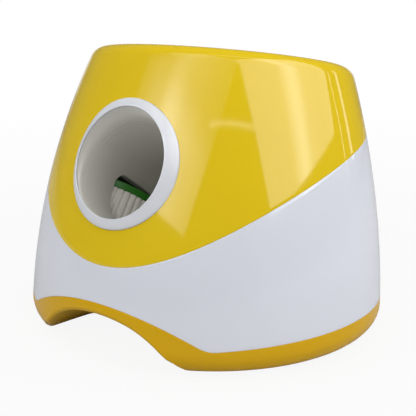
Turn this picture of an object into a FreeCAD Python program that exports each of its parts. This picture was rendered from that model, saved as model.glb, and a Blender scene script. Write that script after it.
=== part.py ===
"""Automatic ball launcher for dogs: a two-wheel thrower in a bell-shaped casing.

Frame: millimetres, +Z up, the floor is Z = 0 and the origin is the middle of the footprint.
The launch port looks towards -Y.  Left and right are as seen by someone facing the port.
Inside, the launch tube has a frame of its own: "along" runs from the port down the tube,
"up" is square to it, and X is shared with the body.
"""
import FreeCAD, Part
import math
import os
import re

import Sketcher
from FreeCAD import Placement, Rotation, Vector

doc = FreeCAD.newDocument("BallLauncher")

# ---------------------------------------------------------------- driving sizes
SIZES = [
    # casing
    ("base_half_x", 140.0, "half width of the casing at the floor"),
    ("base_half_y", 131.5, "half depth of the casing at the floor"),
    ("top_half_x", 102.0, "half width of the casing at body_height"),
    ("top_half_y", 84.5, "half depth of the casing at body_height"),
    ("belly_x", 10.8, "outward swell of the side profile at mid height"),
    ("belly_y", 5.1, "outward swell of the front and back profile"),
    ("top_shift", 17.5, "how far the top sits behind the base"),
    ("shift_sag", 4.3, "how much the shift lags at mid height"),
    ("body_height", 200.0, "rim height over the middle of the footprint"),
    ("rim_tilt", 9.7, "slope of the rim down to the back, degrees"),
    ("rim_radius", 12.0, "rounding of the rim"),
    ("rim_width", 16.0, "rim width, from the outside to the bowl opening"),
    ("foot_radius", 16.0, "rounding of the bottom edge"),
    ("foot_gap", 1.5, "height of the base above the floor"),
    ("bowl_rim", 4.0, "reach of the bowl's rim beyond its opening"),
    ("shell_wall", 3.0, "wall of the casing"),
    ("lip_wall", 2.0, "wall of the lips that join the casings"),
    ("lip_reach", 5.0, "reach of a lip each side of its seam"),
    # seam between cover and shell
    ("seam_radius", 266.0, "radius of the seam, seen from the side"),
    ("seam_y", 70.5, "centre of the seam, front to back"),
    ("seam_drop", 120.8, "centre of the seam, below the floor"),
    # base trim and the arch between the feet
    ("trim_top", 41.6, "height of the trim over the arch"),
    ("trim_radius", 150.0, "radius of the trim over the arch"),
    ("trim_half", 74.0, "half width of the arched stretch of the trim"),
    ("trim_low", 19.5, "lowest height of the trim, at the front of each foot"),
    ("trim_low_x", 84.0, "where the trim is lowest"),
    ("trim_side", 24.4, "height of the trim at the sides"),
    ("arch_height", 34.7, "height of the arch in the front and back wall"),
    ("arch_radius", 105.0, "radius of the crown of the arch"),
    ("arch_crown", 20.0, "half width of the crown"),
    ("arch_shoulder", 20.0, "width of the shoulder beside the crown"),
    ("arch_half", 68.0, "half width of the arch at the floor"),
    ("tunnel_height", 14.0, "clear height under the middle of the base"),
    ("cove_end", 78.0, "where the arch has come down to the tunnel height"),
    ("arch_ahead", 10.0, "how far the arch is cut on outside the casing"),
    # launch port and tube
    ("port_height", 133.0, "height of the port's centre"),
    ("port_lean", 2.97, "how much more the port ring leans back than the casing, degrees"),
    ("port_radius", 45.2, "outer radius of the port ring"),
    ("port_gap", 0.25, "gap between the port ring and the cover"),
    ("port_proud", 2.0, "how far the ring stands proud of the cover"),
    ("launch_angle", 35.0, "upward tilt of the launch tube, degrees"),
    ("bore_radius", 37.5, "bore of the launch tube"),
    ("tube_wall", 2.5, "wall of the launch tube"),
    ("ring_depth", 1.1, "shortest length of the port ring, at its top"),
    ("tube_end", 126.0, "rear end of the tube, inwards from the port"),
    ("cap_wall", 3.0, "thickness of the breech cap and its flange"),
    ("flange_reach", 6.0, "how far the breech flange stands out from the tube"),
    ("cap_top", 52.0, "upper end of the breech cap, above the tube's axis"),
    ("tongue_side", 2.0, "how far the cap's tongue reaches past the chute, each side"),
    # throwing wheels
    ("wheel_station", 76.0, "place of the wheel axles along the tube"),
    ("wheel_radius", 38.0, "radius of the ribbed tyres"),
    ("nip_gap", 50.0, "gap between the two tyres"),
    ("tyre_bottom", -24.0, "lower face of the tyres, from the tube's axis"),
    ("tyre_width", 22.5, "width of the tyres"),
    ("tyre_wall", 4.0, "thickness of the tyres"),
    ("rib_count", 44, "ribs round a tyre"),
    ("groove_depth", 1.4, "depth of the grooves between the ribs"),
    ("groove_width", 2.2, "width of the grooves between the ribs"),
    ("wheel_flange", 5.5, "thickness of the hub's top flange"),
    ("flange_inset", 0.5, "how far the hub's flange stays inside the tyre"),
    ("hub_wall", 3.0, "wall of the hub"),
    ("hub_boss", 6.0, "radius of the hub's boss"),
    ("axle_radius", 1.5, "radius of the motor shafts"),
    ("run_fit", 0.05, "running clearance of a shaft in its hole"),
    ("slot_margin", 1.4, "slot clearance in front of and behind a wheel"),
    ("slot_below", 4.0, "slot clearance below a wheel"),
    ("slot_above", 3.8, "slot clearance above a wheel"),
    ("slot_corner", 7.0, "corner radius of the slots"),
    # motors
    ("motor_gap", 7.0, "from the hub's flange to the motor"),
    ("motor_radius", 14.0, "radius of a launch motor"),
    ("motor_length", 32.0, "length of a launch motor"),
    ("motor_nose", 5.0, "radius of the motor's bearing boss"),
    ("bracket_wall", 3.0, "thickness of a motor bracket"),
    ("bracket_half", 26.0, "half length of a motor bracket along the tube"),
    ("bracket_rise", 20.0, "height of the bracket's saddle on the tube"),
    ("motor_screw_pitch", 9.0, "from the motor's axis to its screws"),
    ("shaft_bite", 10.7, "how deep a wheel's shaft goes into its motor"),
    ("shaft_end_gap", 0.2, "gap at the end of a wheel's shaft"),
    # feed chute and gate
    ("throat_radius", 32.0, "bore of the bowl's throat and of the chute"),
    ("chute_wall", 2.5, "wall of the chute and of the bowl"),
    ("deck_level", 140.0, "underside of the deck that carries the gate"),
    ("deck_wall", 3.0, "thickness of the deck"),
    ("deck_left", 56.0, "reach of the deck to the left"),
    ("deck_right", 76.0, "reach of the deck to the right"),
    ("deck_front", 44.0, "reach of the deck to the front"),
    ("deck_back", 46.0, "reach of the deck to the back"),
    ("gate_x", 50.0, "gate shaft, right of the throat's centre"),
    ("gate_reach", 70.0, "reach of the gate's finger from its shaft"),
    ("gate_tip_half", 7.0, "half width of the finger's tip"),
    ("gate_hub", 7.0, "radius of the gate's hub"),
    ("gate_wall", 3.0, "thickness of the gate's finger"),
    ("gear_module", 1.25, "module of the gate's gears"),
    ("gear_teeth", 24, "teeth on the gate's gear"),
    ("pinion_teeth", 12, "teeth on the gate motor's pinion"),
    ("gear_width", 4.0, "width of the gears"),
    ("gear_slack", 0.14, "backlash taken off each gear"),
    ("layer_gap", 0.6, "gap between the gate's layers"),
    ("gate_shaft_radius", 2.0, "radius of the gate's shaft"),
    ("gate_boss", 5.0, "radius of the shaft's boss under the deck"),
    ("gate_boss_drop", 8.0, "length of the shaft's boss"),
    ("clip_wall", 1.0, "thickness of the shaft's clip"),
    ("clip_radius", 4.0, "outer radius of the shaft's clip"),
    ("gate_motor_radius", 10.0, "radius of the gate motor"),
    ("gate_motor_length", 22.0, "length of the gate motor"),
    ("gate_screw_pitch", 7.0, "from the gate motor's axis to its screws"),
    ("gate_head", 1.8, "radius of the flat heads of the gate motor's screws"),
    ("pinion_shaft_radius", 1.0, "radius of the gate motor's shaft"),
    ("pinion_bite", 11.0, "how deep the pinion's shaft goes into its motor"),
    ("pinion_room", 3.0, "radius of the deck's hole round the pinion's shaft"),
    ("pillar_pitch", 44.0, "deck pillars, from the throat's centre"),
    ("pillar_radius", 4.0, "radius of the deck's pillars"),
    ("throat_flange", 50.0, "radius of the flange round the bowl's throat"),
    ("sensor_side", 10.0, "side of a ball sensor"),
    ("sensor_rise", 12.5, "height of a ball sensor"),
    ("sensor_drop", 27.5, "underside of the ball sensors, below the deck"),
    ("sensor_seat", 1.0, "how far a sensor's seat wraps round the chute"),
    # cradle
    ("cradle_half", 24.0, "half width of the tube's cradle"),
    ("cradle_front", 62.0, "front of the cradle, ahead of the middle"),
    ("cradle_depth", 20.0, "depth of the cradle"),
    ("cradle_top", 70.0, "height of the cradle's horns"),
    ("cradle_leg", 6.0, "thickness of the cradle's legs"),
    ("cradle_window", 24.0, "height of the window between the legs"),
    ("seat_gap", 0.1, "gap of parts that rest on the tube"),
    ("lean_gap", 0.3, "gap of parts that stand beside each other"),
    # rear control panel
    ("panel_half", 46.0, "half width of the rear panel"),
    ("panel_low", 58.0, "lower edge of the rear panel"),
    ("panel_high", 112.0, "upper edge of the rear panel"),
    ("panel_corner", 9.0, "corner radius of the rear panel"),
    ("panel_gap", 0.15, "gap round the rear panel"),
    ("panel_lip", 4.0, "lip of the panel behind the shell"),
    ("board_gap", 1.96, "gap between the control board and the panel's lip"),
    ("board_wall", 1.6, "thickness of the control board"),
    ("board_margin", 2.0, "how far the board stays inside the panel's edges"),
    ("boss_margin", 8.0, "board screws, from the panel's edges"),
    ("boss_radius", 3.0, "radius of the board's bosses"),
    ("key_x", 22.0, "buttons, left and right of the middle"),
    ("key_level", 88.0, "height of the buttons"),
    ("power_radius", 8.0, "radius of the power button"),
    ("range_radius", 6.5, "radius of the distance button"),
    ("key_proud", 2.2, "how far a button stands out of the panel"),
    ("key_travel", 1.2, "travel of a button"),
    ("key_gap", 0.3, "gap round a button"),
    ("key_flange", 1.4, "how far a button's flange stands out"),
    ("key_stem", 3.0, "radius of a button's stem"),
    ("switch_side", 6.0, "side of a tact switch"),
    ("switch_rise", 3.5, "height of a tact switch"),
    ("plunger_rise", 0.7, "height of a switch's plunger"),
    ("plunger_radius", 1.7, "radius of a switch's plunger"),
    ("lens_radius", 1.6, "radius of an indicator lens"),
    ("lens_pitch", 8.0, "distance between indicator lenses"),
    ("lens_level", 103.0, "height of the indicator lenses"),
    ("jack_level", 68.0, "height of the power inlet"),
    ("jack_radius", 5.2, "outer radius of the power inlet"),
    ("jack_bore", 2.75, "bore of the power inlet"),
    ("jack_depth", 9.0, "depth of the power inlet"),
    ("jack_block", 12.0, "side of the inlet's block"),
    # batteries
    ("cell_radius", 9.1, "radius of a battery cell"),
    ("cell_length", 65.0, "length of a battery cell"),
    ("cell_count", 3, "battery cells side by side"),
    ("cell_front", 29.0, "front of the first cell, behind the middle"),
    ("cell_gap", 0.2, "gap between cells"),
    ("hatch_margin", 4.0, "battery hatch beyond the cells"),
    ("hatch_gap", 0.2, "gap round the battery hatch"),
    ("contact_wall", 0.8, "thickness of a contact plate"),
    # feet, screws and posts
    ("pad_x", 84.0, "rubber pads, from the middle"),
    ("pad_y", 50.0, "rubber pads, ahead of and behind the middle"),
    ("pad_radius", 9.0, "radius of a rubber pad"),
    ("pad_sink", 1.5, "how far a pad sits in the base"),
    ("post_x", 86.0, "casing posts, from the middle"),
    ("post_y", 74.0, "casing posts, ahead of and behind the middle"),
    ("post_radius", 6.0, "radius of a casing post"),
    ("post_joint", 30.0, "height where base and shell posts meet"),
    ("post_top", 52.0, "top of the shell's posts"),
    ("screw_radius", 1.5, "radius of a casing screw"),
    ("head_radius", 3.2, "radius of a casing screw's head"),
    ("head_height", 2.4, "height of a casing screw's head"),
    ("head_sink", 8.0, "depth of the head under the base"),
    ("small_screw", 1.1, "radius of a small screw"),
    ("small_head", 2.2, "radius of a small screw's head"),
    ("small_head_height", 1.5, "height of a small screw's head"),
    ("small_bite", 6.0, "how deep a small screw bites"),
    # leads
    ("lead_radius", 1.1, "radius of a motor lead"),
    ("lead_bend", 9.0, "bend radius of a motor lead"),
    ("lead_gap", 4.0, "from a motor's middle to each lead"),
    ("lead_rise", 14.0, "straight run out of a motor"),
    ("lead_swing", 6.0, "how far the leads swing out beyond the motors"),
    ("lead_pass", 46.0, "where the leads pass behind the deck"),
    ("lead_fall", 8.0, "how far the leads fall behind the deck"),
    ("lead_run", 22.0, "straight run into the board"),
    ("lead_x", 22.0, "where the leads meet the board, from its middle"),
    ("lead_level", 100.0, "height where the leads meet the board"),
    # construction
    ("far_reach", 400.0, "reach of the blocks that cut, well outside the casing"),
]

sheet = doc.addObject("Spreadsheet::Sheet", "sizes")
ALIASES = []
NODES = []


def add_size(alias, value, note):
    """Write a size into the next row of the sheet."""
    ALIASES.append(alias)
    row = len(ALIASES)
    sheet.set("A%d" % row, note)
    sheet.set("B%d" % row, str(value))
    sheet.setAlias("B%d" % row, alias)


for alias, value, note in SIZES:
    add_size(alias, value, note)
doc.recompute()


def size(alias):
    """The number that the sheet holds for an alias."""
    return float(sheet.get(alias))


def bind(item, prop, text):
    """Bind a property to an expression in the sheet's aliases."""
    aliases = r"\b(" + "|".join(ALIASES) + r")\b"
    item.setExpression(prop, re.sub(aliases, r"sizes.\1", text))


def node(label, item):
    """Make an object one of the part's sub-parts."""
    item.Label = label
    NODES.append(item)
    return item


# ---------------------------------------------------------------- placing
RISE = "(port_height / body_height)"
PORT_Y = ("(top_shift * {t} - 4 * shift_sag * {t} * (1 - {t})"
          " - base_half_y - (top_half_y - base_half_y) * {t}"
          " - 4 * belly_y * {t} * (1 - {t}))").format(t=RISE)
TURNS = {
    "x": Rotation(Vector(0, 1, 0), 90),
    "y": Rotation(Vector(-1, 0, 0), 90),
    "z": Rotation(),
}


def place(item, at, direction="z"):
    """Put an object at a point of the body, with its own Z along an axis."""
    item.Placement = Placement(Vector(), TURNS[direction])
    for letter, text in zip("xyz", at):
        bind(item, ".Placement.Base." + letter, text)
    return item


def place_launch(item, at, direction="up"):
    """Put an object at (x, along, up) of the launch tube's frame."""
    x, along, up = at
    item.Placement = Placement(Vector(), Rotation(Vector(-1, 0, 0), 1))
    angle = "launch_angle" if direction == "up" else "launch_angle + 90"
    bind(item, ".Placement.Rotation.Angle", angle)
    bind(item, ".Placement.Base.x", x)
    bind(item, ".Placement.Base.y", "%s + (%s) * cos(launch_angle) + (%s) * sin(launch_angle)"
         % (PORT_Y, along, up))
    bind(item, ".Placement.Base.z", "port_height - (%s) * sin(launch_angle) + (%s) * cos(launch_angle)"
         % (along, up))
    return item


# ---------------------------------------------------------------- primitives and booleans
def cylinder(name, radius, height):
    item = doc.addObject("Part::Cylinder", name)
    bind(item, "Radius", radius)
    bind(item, "Height", height)
    return item


def box(name, length, width, height):
    item = doc.addObject("Part::Box", name)
    bind(item, "Length", length)
    bind(item, "Width", width)
    bind(item, "Height", height)
    return item


def fuse(name, *items):
    item = doc.addObject("Part::MultiFuse", name)
    item.Shapes = list(items)
    return item


def common(name, *items):
    item = doc.addObject("Part::MultiCommon", name)
    item.Shapes = list(items)
    return item


def cut(name, base, *tools):
    tool = tools[0] if len(tools) == 1 else fuse(name + "_tools", *tools)
    item = doc.addObject("Part::Cut", name)
    item.Base = base
    item.Tool = tool
    return item


def group(name, *items):
    """Separate solids that share one node."""
    item = doc.addObject("Part::Compound", name)
    item.Links = list(items)
    return item


def computed(name, shape):
    """A shape made by Part's own functions."""
    item = doc.addObject("Part::Feature", name)
    item.Shape = shape
    return item


# ---------------------------------------------------------------- sketches
def plane_of(body, role):
    for feature in body.Origin.OriginFeatures:
        if feature.Role == role:
            return feature
    raise ValueError(role)


def sketch_on(body, name, role="XY_Plane"):
    sketch = body.newObject("Sketcher::SketchObject", name)
    sketch.AttachmentSupport = (plane_of(body, role), [""])
    sketch.MapMode = "FlatFace"
    return sketch


def add_circle(sketch, radius):
    """A circle about the sketch's origin, with its radius bound."""
    index = sketch.addGeometry(Part.Circle(Vector(), Vector(0, 0, 1), 1.0), False)
    sketch.addConstraint(Sketcher.Constraint("Coincident", index, 3, -1, 1))
    number = sketch.addConstraint(Sketcher.Constraint("Radius", index, 1.0))
    bind(sketch, "Constraints[%d]" % number, radius)


def add_outline(sketch, corners):
    """A closed outline of straight lines, each corner bound to two expressions."""
    rough = [Vector(10.0 * math.cos(turn), 10.0 * math.sin(turn), 0)
             for turn in [2 * math.pi * i / len(corners) for i in range(len(corners))]]
    first = None
    for index, start in enumerate(rough):
        end = rough[(index + 1) % len(rough)]
        line = sketch.addGeometry(Part.LineSegment(start, end), False)
        first = line if first is None else first
    count = len(corners)
    for index in range(count):
        following = (index + 1) % count
        sketch.addConstraint(Sketcher.Constraint("Coincident", first + index, 2, first + following, 1))
    for index, (across, upwards) in enumerate(corners):
        for kind, text in (("DistanceX", across), ("DistanceY", upwards)):
            number = sketch.addConstraint(Sketcher.Constraint(kind, -1, 1, first + index, 1, 1.0))
            bind(sketch, "Constraints[%d]" % number, text)


def pad(body, name, sketch, length):
    item = body.newObject("PartDesign::Pad", name)
    item.Profile = sketch
    bind(item, "Length", length)
    return item


def round_body(name, radius, length, bore=None):
    """A turned body: one pad of a circle, with a bore if it has one."""
    body = doc.addObject("PartDesign::Body", name)
    sketch = sketch_on(body, name + "_section")
    add_circle(sketch, radius)
    if bore:
        add_circle(sketch, bore)
    pad(body, name + "_pad", sketch, length)
    return body


# ---------------------------------------------------------------- casing surfaces
FAR = size("far_reach")


def profile(z):
    """Half width, half depth and centre of the casing at a height."""
    t = z / size("body_height")
    swell = 4 * t * (1 - t)
    half_x = size("base_half_x") + (size("top_half_x") - size("base_half_x")) * t + size("belly_x") * swell
    half_y = size("base_half_y") + (size("top_half_y") - size("base_half_y")) * t + size("belly_y") * swell
    centre = size("top_shift") * t - size("shift_sag") * swell
    return half_x, half_y, centre


def front_lean(z):
    """How far the front of the casing leans back at a height, in degrees."""
    step = 1.0
    below, above = [profile(level)[2] - profile(level)[1] for level in (z - step, z + step)]
    return math.degrees(math.atan2(above - below, 2 * step))


def back_surface(x, z):
    """Y of the casing's outside at the back."""
    half_x, half_y, centre = profile(z)
    return centre + half_y * math.sqrt(1 - (x / half_x) ** 2)


casing_lean = front_lean(size("port_height"))
ring_offset = size("port_radius") * math.sin(math.radians(size("launch_angle") - casing_lean))
add_size("port_tilt", casing_lean + size("port_lean"), "upward tilt of the port ring, degrees")
add_size("tube_start", ring_offset - size("port_proud") + size("ring_depth"),
         "front end of the tube, inwards from the port")
panel_inside = back_surface(size("panel_half"), size("panel_high")) - size("shell_wall") - size("lip_wall")
add_size("board_y", panel_inside - size("board_gap") - size("board_wall"), "front face of the control board")
doc.recompute()


def ellipse_wire(half_x, half_y, centre, z, slope=0.0):
    """An ellipse by its plan, on a plane that falls to the back by slope."""
    circle = Part.Circle(Vector(), Vector(0, 0, 1), 1.0).toShape()
    matrix = FreeCAD.Matrix()
    matrix.A11 = half_x
    matrix.A22 = half_y
    matrix.A24 = centre
    matrix.A32 = -slope * half_y
    matrix.A34 = z - slope * centre
    return Part.Wire([circle.transformGeometry(matrix)])


def rim_slope():
    return math.tan(math.radians(size("rim_tilt")))


def below_rim(drop):
    """Everything below the rim's plane, lowered by drop."""
    block = Part.makeBox(2 * FAR, 2 * FAR, 2 * FAR, Vector(-FAR, -FAR, -2 * FAR))
    block.rotate(Vector(), Vector(1, 0, 0), -size("rim_tilt"))
    block.translate(Vector(0, 0, size("body_height") - drop))
    return block


def bezier_controls(low, high, swell, start, end):
    """Control values of a swelling profile between two shares of body_height."""
    def value(t):
        return low + (high - low) * t + 4 * swell * t * (1 - t)
    slope = high - low + 4 * swell * (1 - 2 * start)
    return value(start), value(start) + slope * (end - start) / 2, value(end)


def casing_block(inset):
    """The casing as a full solid with a flat top: one exact surface and two flat ends."""
    low = size("foot_gap") + inset
    start = low / size("body_height")
    end = 1.2  # past the rim, as a share of body_height
    half_x = bezier_controls(size("base_half_x"), size("top_half_x"), size("belly_x"), start, end)
    half_y = bezier_controls(size("base_half_y"), size("top_half_y"), size("belly_y"), start, end)
    centre = bezier_controls(0.0, size("top_shift"), -size("shift_sag"), start, end)
    height = bezier_controls(0.0, size("body_height"), 0.0, start, end)
    poles = []
    weights = []
    for across, forward in ((1, 0), (1, 1), (0, 1), (-1, 1), (-1, 0), (-1, -1), (0, -1), (1, -1), (1, 0)):
        column = [Vector(across * (half_x[i] - inset), centre[i] + forward * (half_y[i] - inset), height[i])
                  for i in range(3)]
        poles.append(column)
        weights.append([math.sqrt(0.5) if across and forward else 1.0] * 3)
    surface = Part.BSplineSurface()
    surface.buildFromPolesMultsKnots(poles, [3, 2, 2, 2, 3], [3, 3], [0, 1, 2, 3, 4], [0, 1],
                                     False, False, 2, 2, weights)
    side = surface.toShape()
    ends = [Part.Face(Part.Wire([edge])) for edge in side.Edges if edge.BoundBox.ZLength < 0.01]
    shell = Part.makeShell([side] + ends)
    shell.sewShape()
    solid = Part.makeSolid(shell)
    if not solid.isValid():
        solid.fix(0.001, 0.001, 0.001)
    return solid


def casing(inset, rounded=True):
    """The casing as a full solid, with every wall moved in by inset."""
    solid = casing_block(inset).common(below_rim(inset))
    if not rounded:
        return solid
    low = solid.BoundBox.ZMin
    flat = [face for face in solid.Faces if face.Surface.TypeId == "Part::GeomPlane"]
    top = max(flat, key=lambda face: face.CenterOfMass.z)
    bottom = min(flat, key=lambda face: face.CenterOfMass.z)
    solid = solid.makeFillet(size("rim_radius") - inset, top.Edges)
    edges = [edge for edge in solid.Edges
             if edge.BoundBox.ZMax < low + 0.01 and edge.BoundBox.XLength > size("base_half_x")]
    return solid.makeFillet(size("foot_radius") - inset, edges)


def hollow(outside, inside):
    """The wall between two closed solids, without cutting one by the other."""
    return Part.Solid(Part.Compound([outside.Shells[0], inside.Shells[0].reversed()]))


def seam_round(offset=0.0):
    """The round whose surface is the seam between shell and cover."""
    return Part.makeCylinder(size("seam_radius") + offset, 2 * FAR,
                             Vector(-FAR, size("seam_y"), -size("seam_drop")), Vector(1, 0, 0))


def curve_through(start, corner, end):
    """A smooth bend from start to end, tangent to the lines to the corner."""
    bend = Part.BezierCurve()
    bend.setPoles([start, corner, end])
    return bend.toShape()


def below_trim(raised=0.0):
    """Everything below the trim's top edge, raised by an amount."""
    radius = size("trim_radius")
    half = size("trim_half")
    arc_end = size("trim_top") - radius + math.sqrt(radius ** 2 - half ** 2)
    fall = half / math.sqrt(radius ** 2 - half ** 2)
    climb = (size("trim_side") - size("trim_low")) / (size("base_half_x") - size("trim_low_x"))
    corner_x = (arc_end + fall * half - size("trim_low") + climb * size("trim_low_x")) / (fall + climb)
    corner_z = arc_end - fall * (corner_x - half)
    bend_end = 2 * corner_x - half
    side_z = size("trim_low") + climb * (FAR - size("trim_low_x"))
    edges = [Part.Arc(Vector(-half, 0, arc_end), Vector(0, 0, size("trim_top")),
                      Vector(half, 0, arc_end)).toShape()]
    for side in (-1, 1):
        arc_foot = Vector(side * half, 0, arc_end)
        corner = Vector(side * corner_x, 0, corner_z)
        bend_foot = Vector(side * bend_end, 0, corner_z + climb * (bend_end - corner_x))
        outer = Vector(side * FAR, 0, side_z)
        edges.append(curve_through(arc_foot, corner, bend_foot))
        edges.append(Part.makeLine(bend_foot, outer))
        edges.append(Part.makeLine(outer, Vector(side * FAR, 0, -FAR)))
    edges.append(Part.makeLine(Vector(-FAR, 0, -FAR), Vector(FAR, 0, -FAR)))
    face = Part.Face(Part.Wire(Part.__sortEdges__(edges)))
    prism = face.extrude(Vector(0, 2 * FAR, 0))
    prism.translate(Vector(0, -FAR, raised))
    return prism


def arch_wire(y, height, grow):
    """The arch between the feet, squashed to a height and grown outwards."""
    squash = height / size("arch_height")
    crown = size("arch_crown") + grow
    crown_drop = crown ** 2 / (2 * size("arch_radius"))
    crown_fall = crown / size("arch_radius")
    shoulder = size("arch_shoulder")
    floor_half = size("arch_half") + grow
    top = height + grow

    def point(x, drop):
        return Vector(x, y, top - squash * drop)

    floor_z = -size("foot_gap")
    shoulder_z = point(0, crown_drop + crown_fall * shoulder).z
    leg_half = (crown + shoulder + floor_half) / 2
    edges = [Part.Arc(point(-crown, crown_drop), point(0, 0), point(crown, crown_drop)).toShape()]
    for side in (-1, 1):
        crown_end = point(side * crown, crown_drop)
        corner = Vector(side * (crown + shoulder), y, shoulder_z)
        leg = Vector(side * leg_half, y, (shoulder_z + floor_z) / 2)
        foot = Vector(side * floor_half, y, floor_z)
        edges.append(curve_through(crown_end, corner, leg))
        edges.append(Part.makeLine(leg, foot))
    edges.append(Part.makeLine(Vector(-floor_half, y, floor_z), Vector(floor_half, y, floor_z)))
    return Part.Wire(Part.__sortEdges__(edges))


def tunnel(grow=0.0):
    """The space between the feet: a low tunnel that opens into an arch at each end."""
    far_y = size("base_half_y") + size("arch_ahead")
    wall_y = profile(size("arch_height"))[1]
    end_y = size("cove_end")
    climb = (size("arch_height") - size("tunnel_height")) / (wall_y - end_y)
    mouth_height = size("tunnel_height") + climb * (far_y - end_y)
    parts = []
    for side in (-1, 1):
        mouth = arch_wire(side * far_y, mouth_height, grow)
        neck = arch_wire(side * end_y, size("tunnel_height"), grow)
        parts.append(Part.makeLoft([mouth, neck], True, True))
    middle = Part.Face(arch_wire(-end_y, size("tunnel_height"), grow))
    parts.append(middle.extrude(Vector(0, 2 * end_y, 0)))
    return parts[0].multiFuse(parts[1:])


def rim_reach(side):
    """Where the rim's plane meets the front (-1) or back (1) profile."""
    y = side * size("top_half_y")
    for _ in range(20):
        half_x, half_y, centre = profile(size("body_height") - rim_slope() * y)
        y = centre + side * half_y
    return y


def opening_plan():
    """Half width, half depth and centre of the bowl's opening, in plan."""
    front, back = rim_reach(-1), rim_reach(1)
    centre = (front + back) / 2
    half_x = profile(size("body_height") - rim_slope() * centre)[0]
    return half_x - size("rim_width"), (back - front) / 2 - size("rim_width"), centre


def post_places():
    return [(side_x * size("post_x"), side_y * size("post_y")) for side_x in (-1, 1) for side_y in (-1, 1)]


def rounded_prism(grow):
    """The rear panel's outline as a prism along Y, from the board outwards."""
    half = size("panel_half") + grow
    low = size("panel_low") - grow
    high = size("panel_high") + grow
    solid = Part.makeBox(2 * half, FAR, high - low, Vector(-half, size("board_y"), low))
    edges = [edge for edge in solid.Edges if edge.BoundBox.YLength > FAR / 2]
    return solid.makeFillet(size("panel_corner") + grow, edges)


outer = casing(0.0)
inner = casing(size("shell_wall"))
lip_inner = casing(size("shell_wall") + size("lip_wall"))
mid_wall = casing(size("shell_wall") / 2)
skin = hollow(outer, inner)
lip_skin = hollow(inner, lip_inner)
port_y = profile(size("port_height"))[2] - profile(size("port_height"))[1]
port_centre = Vector(0, port_y, size("port_height"))


def port_direction(angle):
    """Outward direction that rises by an angle, in degrees."""
    return Vector(0, -math.cos(math.radians(angle)), math.sin(math.radians(angle)))


def port_round(radius, angle, reach):
    """A cylinder through the port's centre, with the same reach outside and inside."""
    direction = port_direction(angle)
    return Part.makeCylinder(radius, 2 * reach, port_centre - direction * reach, direction)


def make_upper_cover():
    half_x, half_y, centre = opening_plan()
    opening = Part.Face(ellipse_wire(half_x, half_y, centre, size("body_height") / 2))
    hole = port_round(size("port_radius") + size("port_gap"), size("port_tilt"), size("port_radius"))
    cover = skin.copy().cut([seam_round(), opening.extrude(Vector(0, 0, size("body_height"))), hole])
    return cover


def make_lower_shell():
    shell = skin.copy().common(seam_round()).cut([below_trim(), rounded_prism(0.0)])
    lip = lip_skin.copy().common(seam_round(size("lip_reach"))).cut(seam_round(-size("lip_reach")))
    additions = [lip]
    height = size("post_top") - size("post_joint")
    for x, y in post_places():
        spot = Vector(x, y, size("post_joint"))
        post = Part.makeCylinder(size("post_radius"), height, spot)
        rib = Part.makeBox(size("base_half_x"), size("shell_wall"), height,
                           spot - Vector(0, size("shell_wall") / 2, 0))
        rib.rotate(spot, Vector(0, 0, 1), math.degrees(math.atan2(y, x)))
        additions.append(post.fuse(rib).common(mid_wall.copy()))
    shell = shell.multiFuse(additions)
    bores = [Part.makeCylinder(size("screw_radius"), height - size("shell_wall"),
                               Vector(x, y, size("post_joint"))) for x, y in post_places()]
    return shell.cut(bores).removeSplitter()


def hatch_plan():
    """Low and high corner of the battery hatch, in plan."""
    margin = size("hatch_margin")
    depth = size("cell_count") * (2 * size("cell_radius") + size("cell_gap"))
    half = size("cell_length") / 2 + margin
    return (-half, size("cell_front") - margin), (half, size("cell_front") + depth + margin)


def make_base_tray():
    tray = outer.copy().common(below_trim()).cut(tunnel())
    tray = tray.cut(inner.copy().cut(tunnel(size("shell_wall"))))
    lip = lip_skin.copy().common(below_trim(size("lip_reach"))).cut(below_trim(-size("lip_reach")))
    lip = lip.cut(tunnel())
    floor = size("foot_gap")
    additions = [lip]
    holes = []
    for x, y in post_places():
        foot = Vector(x, y, 0)
        post = Part.makeCylinder(size("post_radius"), size("post_joint") - floor, Vector(x, y, floor))
        additions.append(post)
        holes.append(Part.makeCylinder(size("screw_radius") + size("run_fit"), size("post_joint"), foot))
        holes.append(Part.makeCylinder(size("head_radius") + size("key_gap"),
                                       size("head_sink") + size("head_height"), foot))
    for side_x in (-1, 1):
        for side_y in (-1, 1):
            spot = Vector(side_x * size("pad_x"), side_y * size("pad_y"), 0)
            holes.append(Part.makeCylinder(size("pad_radius"), floor + size("pad_sink"), spot))
    (x_low, y_low), (x_high, y_high) = hatch_plan()
    holes.append(Part.makeBox(x_high - x_low, y_high - y_low, size("tunnel_height") + 2 * size("shell_wall"),
                              Vector(x_low, y_low, 0)))
    for addition in additions:
        tray = tray.fuse(addition)
    for hole in holes:
        tray = tray.cut(hole)
    return tray


def make_port_ring():
    proud = casing(-size("port_proud"), rounded=False)
    ring = port_round(size("port_radius"), size("port_tilt"), size("port_radius")).common(proud)
    inwards = -port_direction(size("launch_angle"))
    behind = Part.makeCylinder(FAR, FAR, port_centre + inwards * size("tube_start"), inwards)
    bore = port_round(size("bore_radius"), size("launch_angle"), 2 * size("port_radius"))
    return ring.cut([behind, bore])


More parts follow.
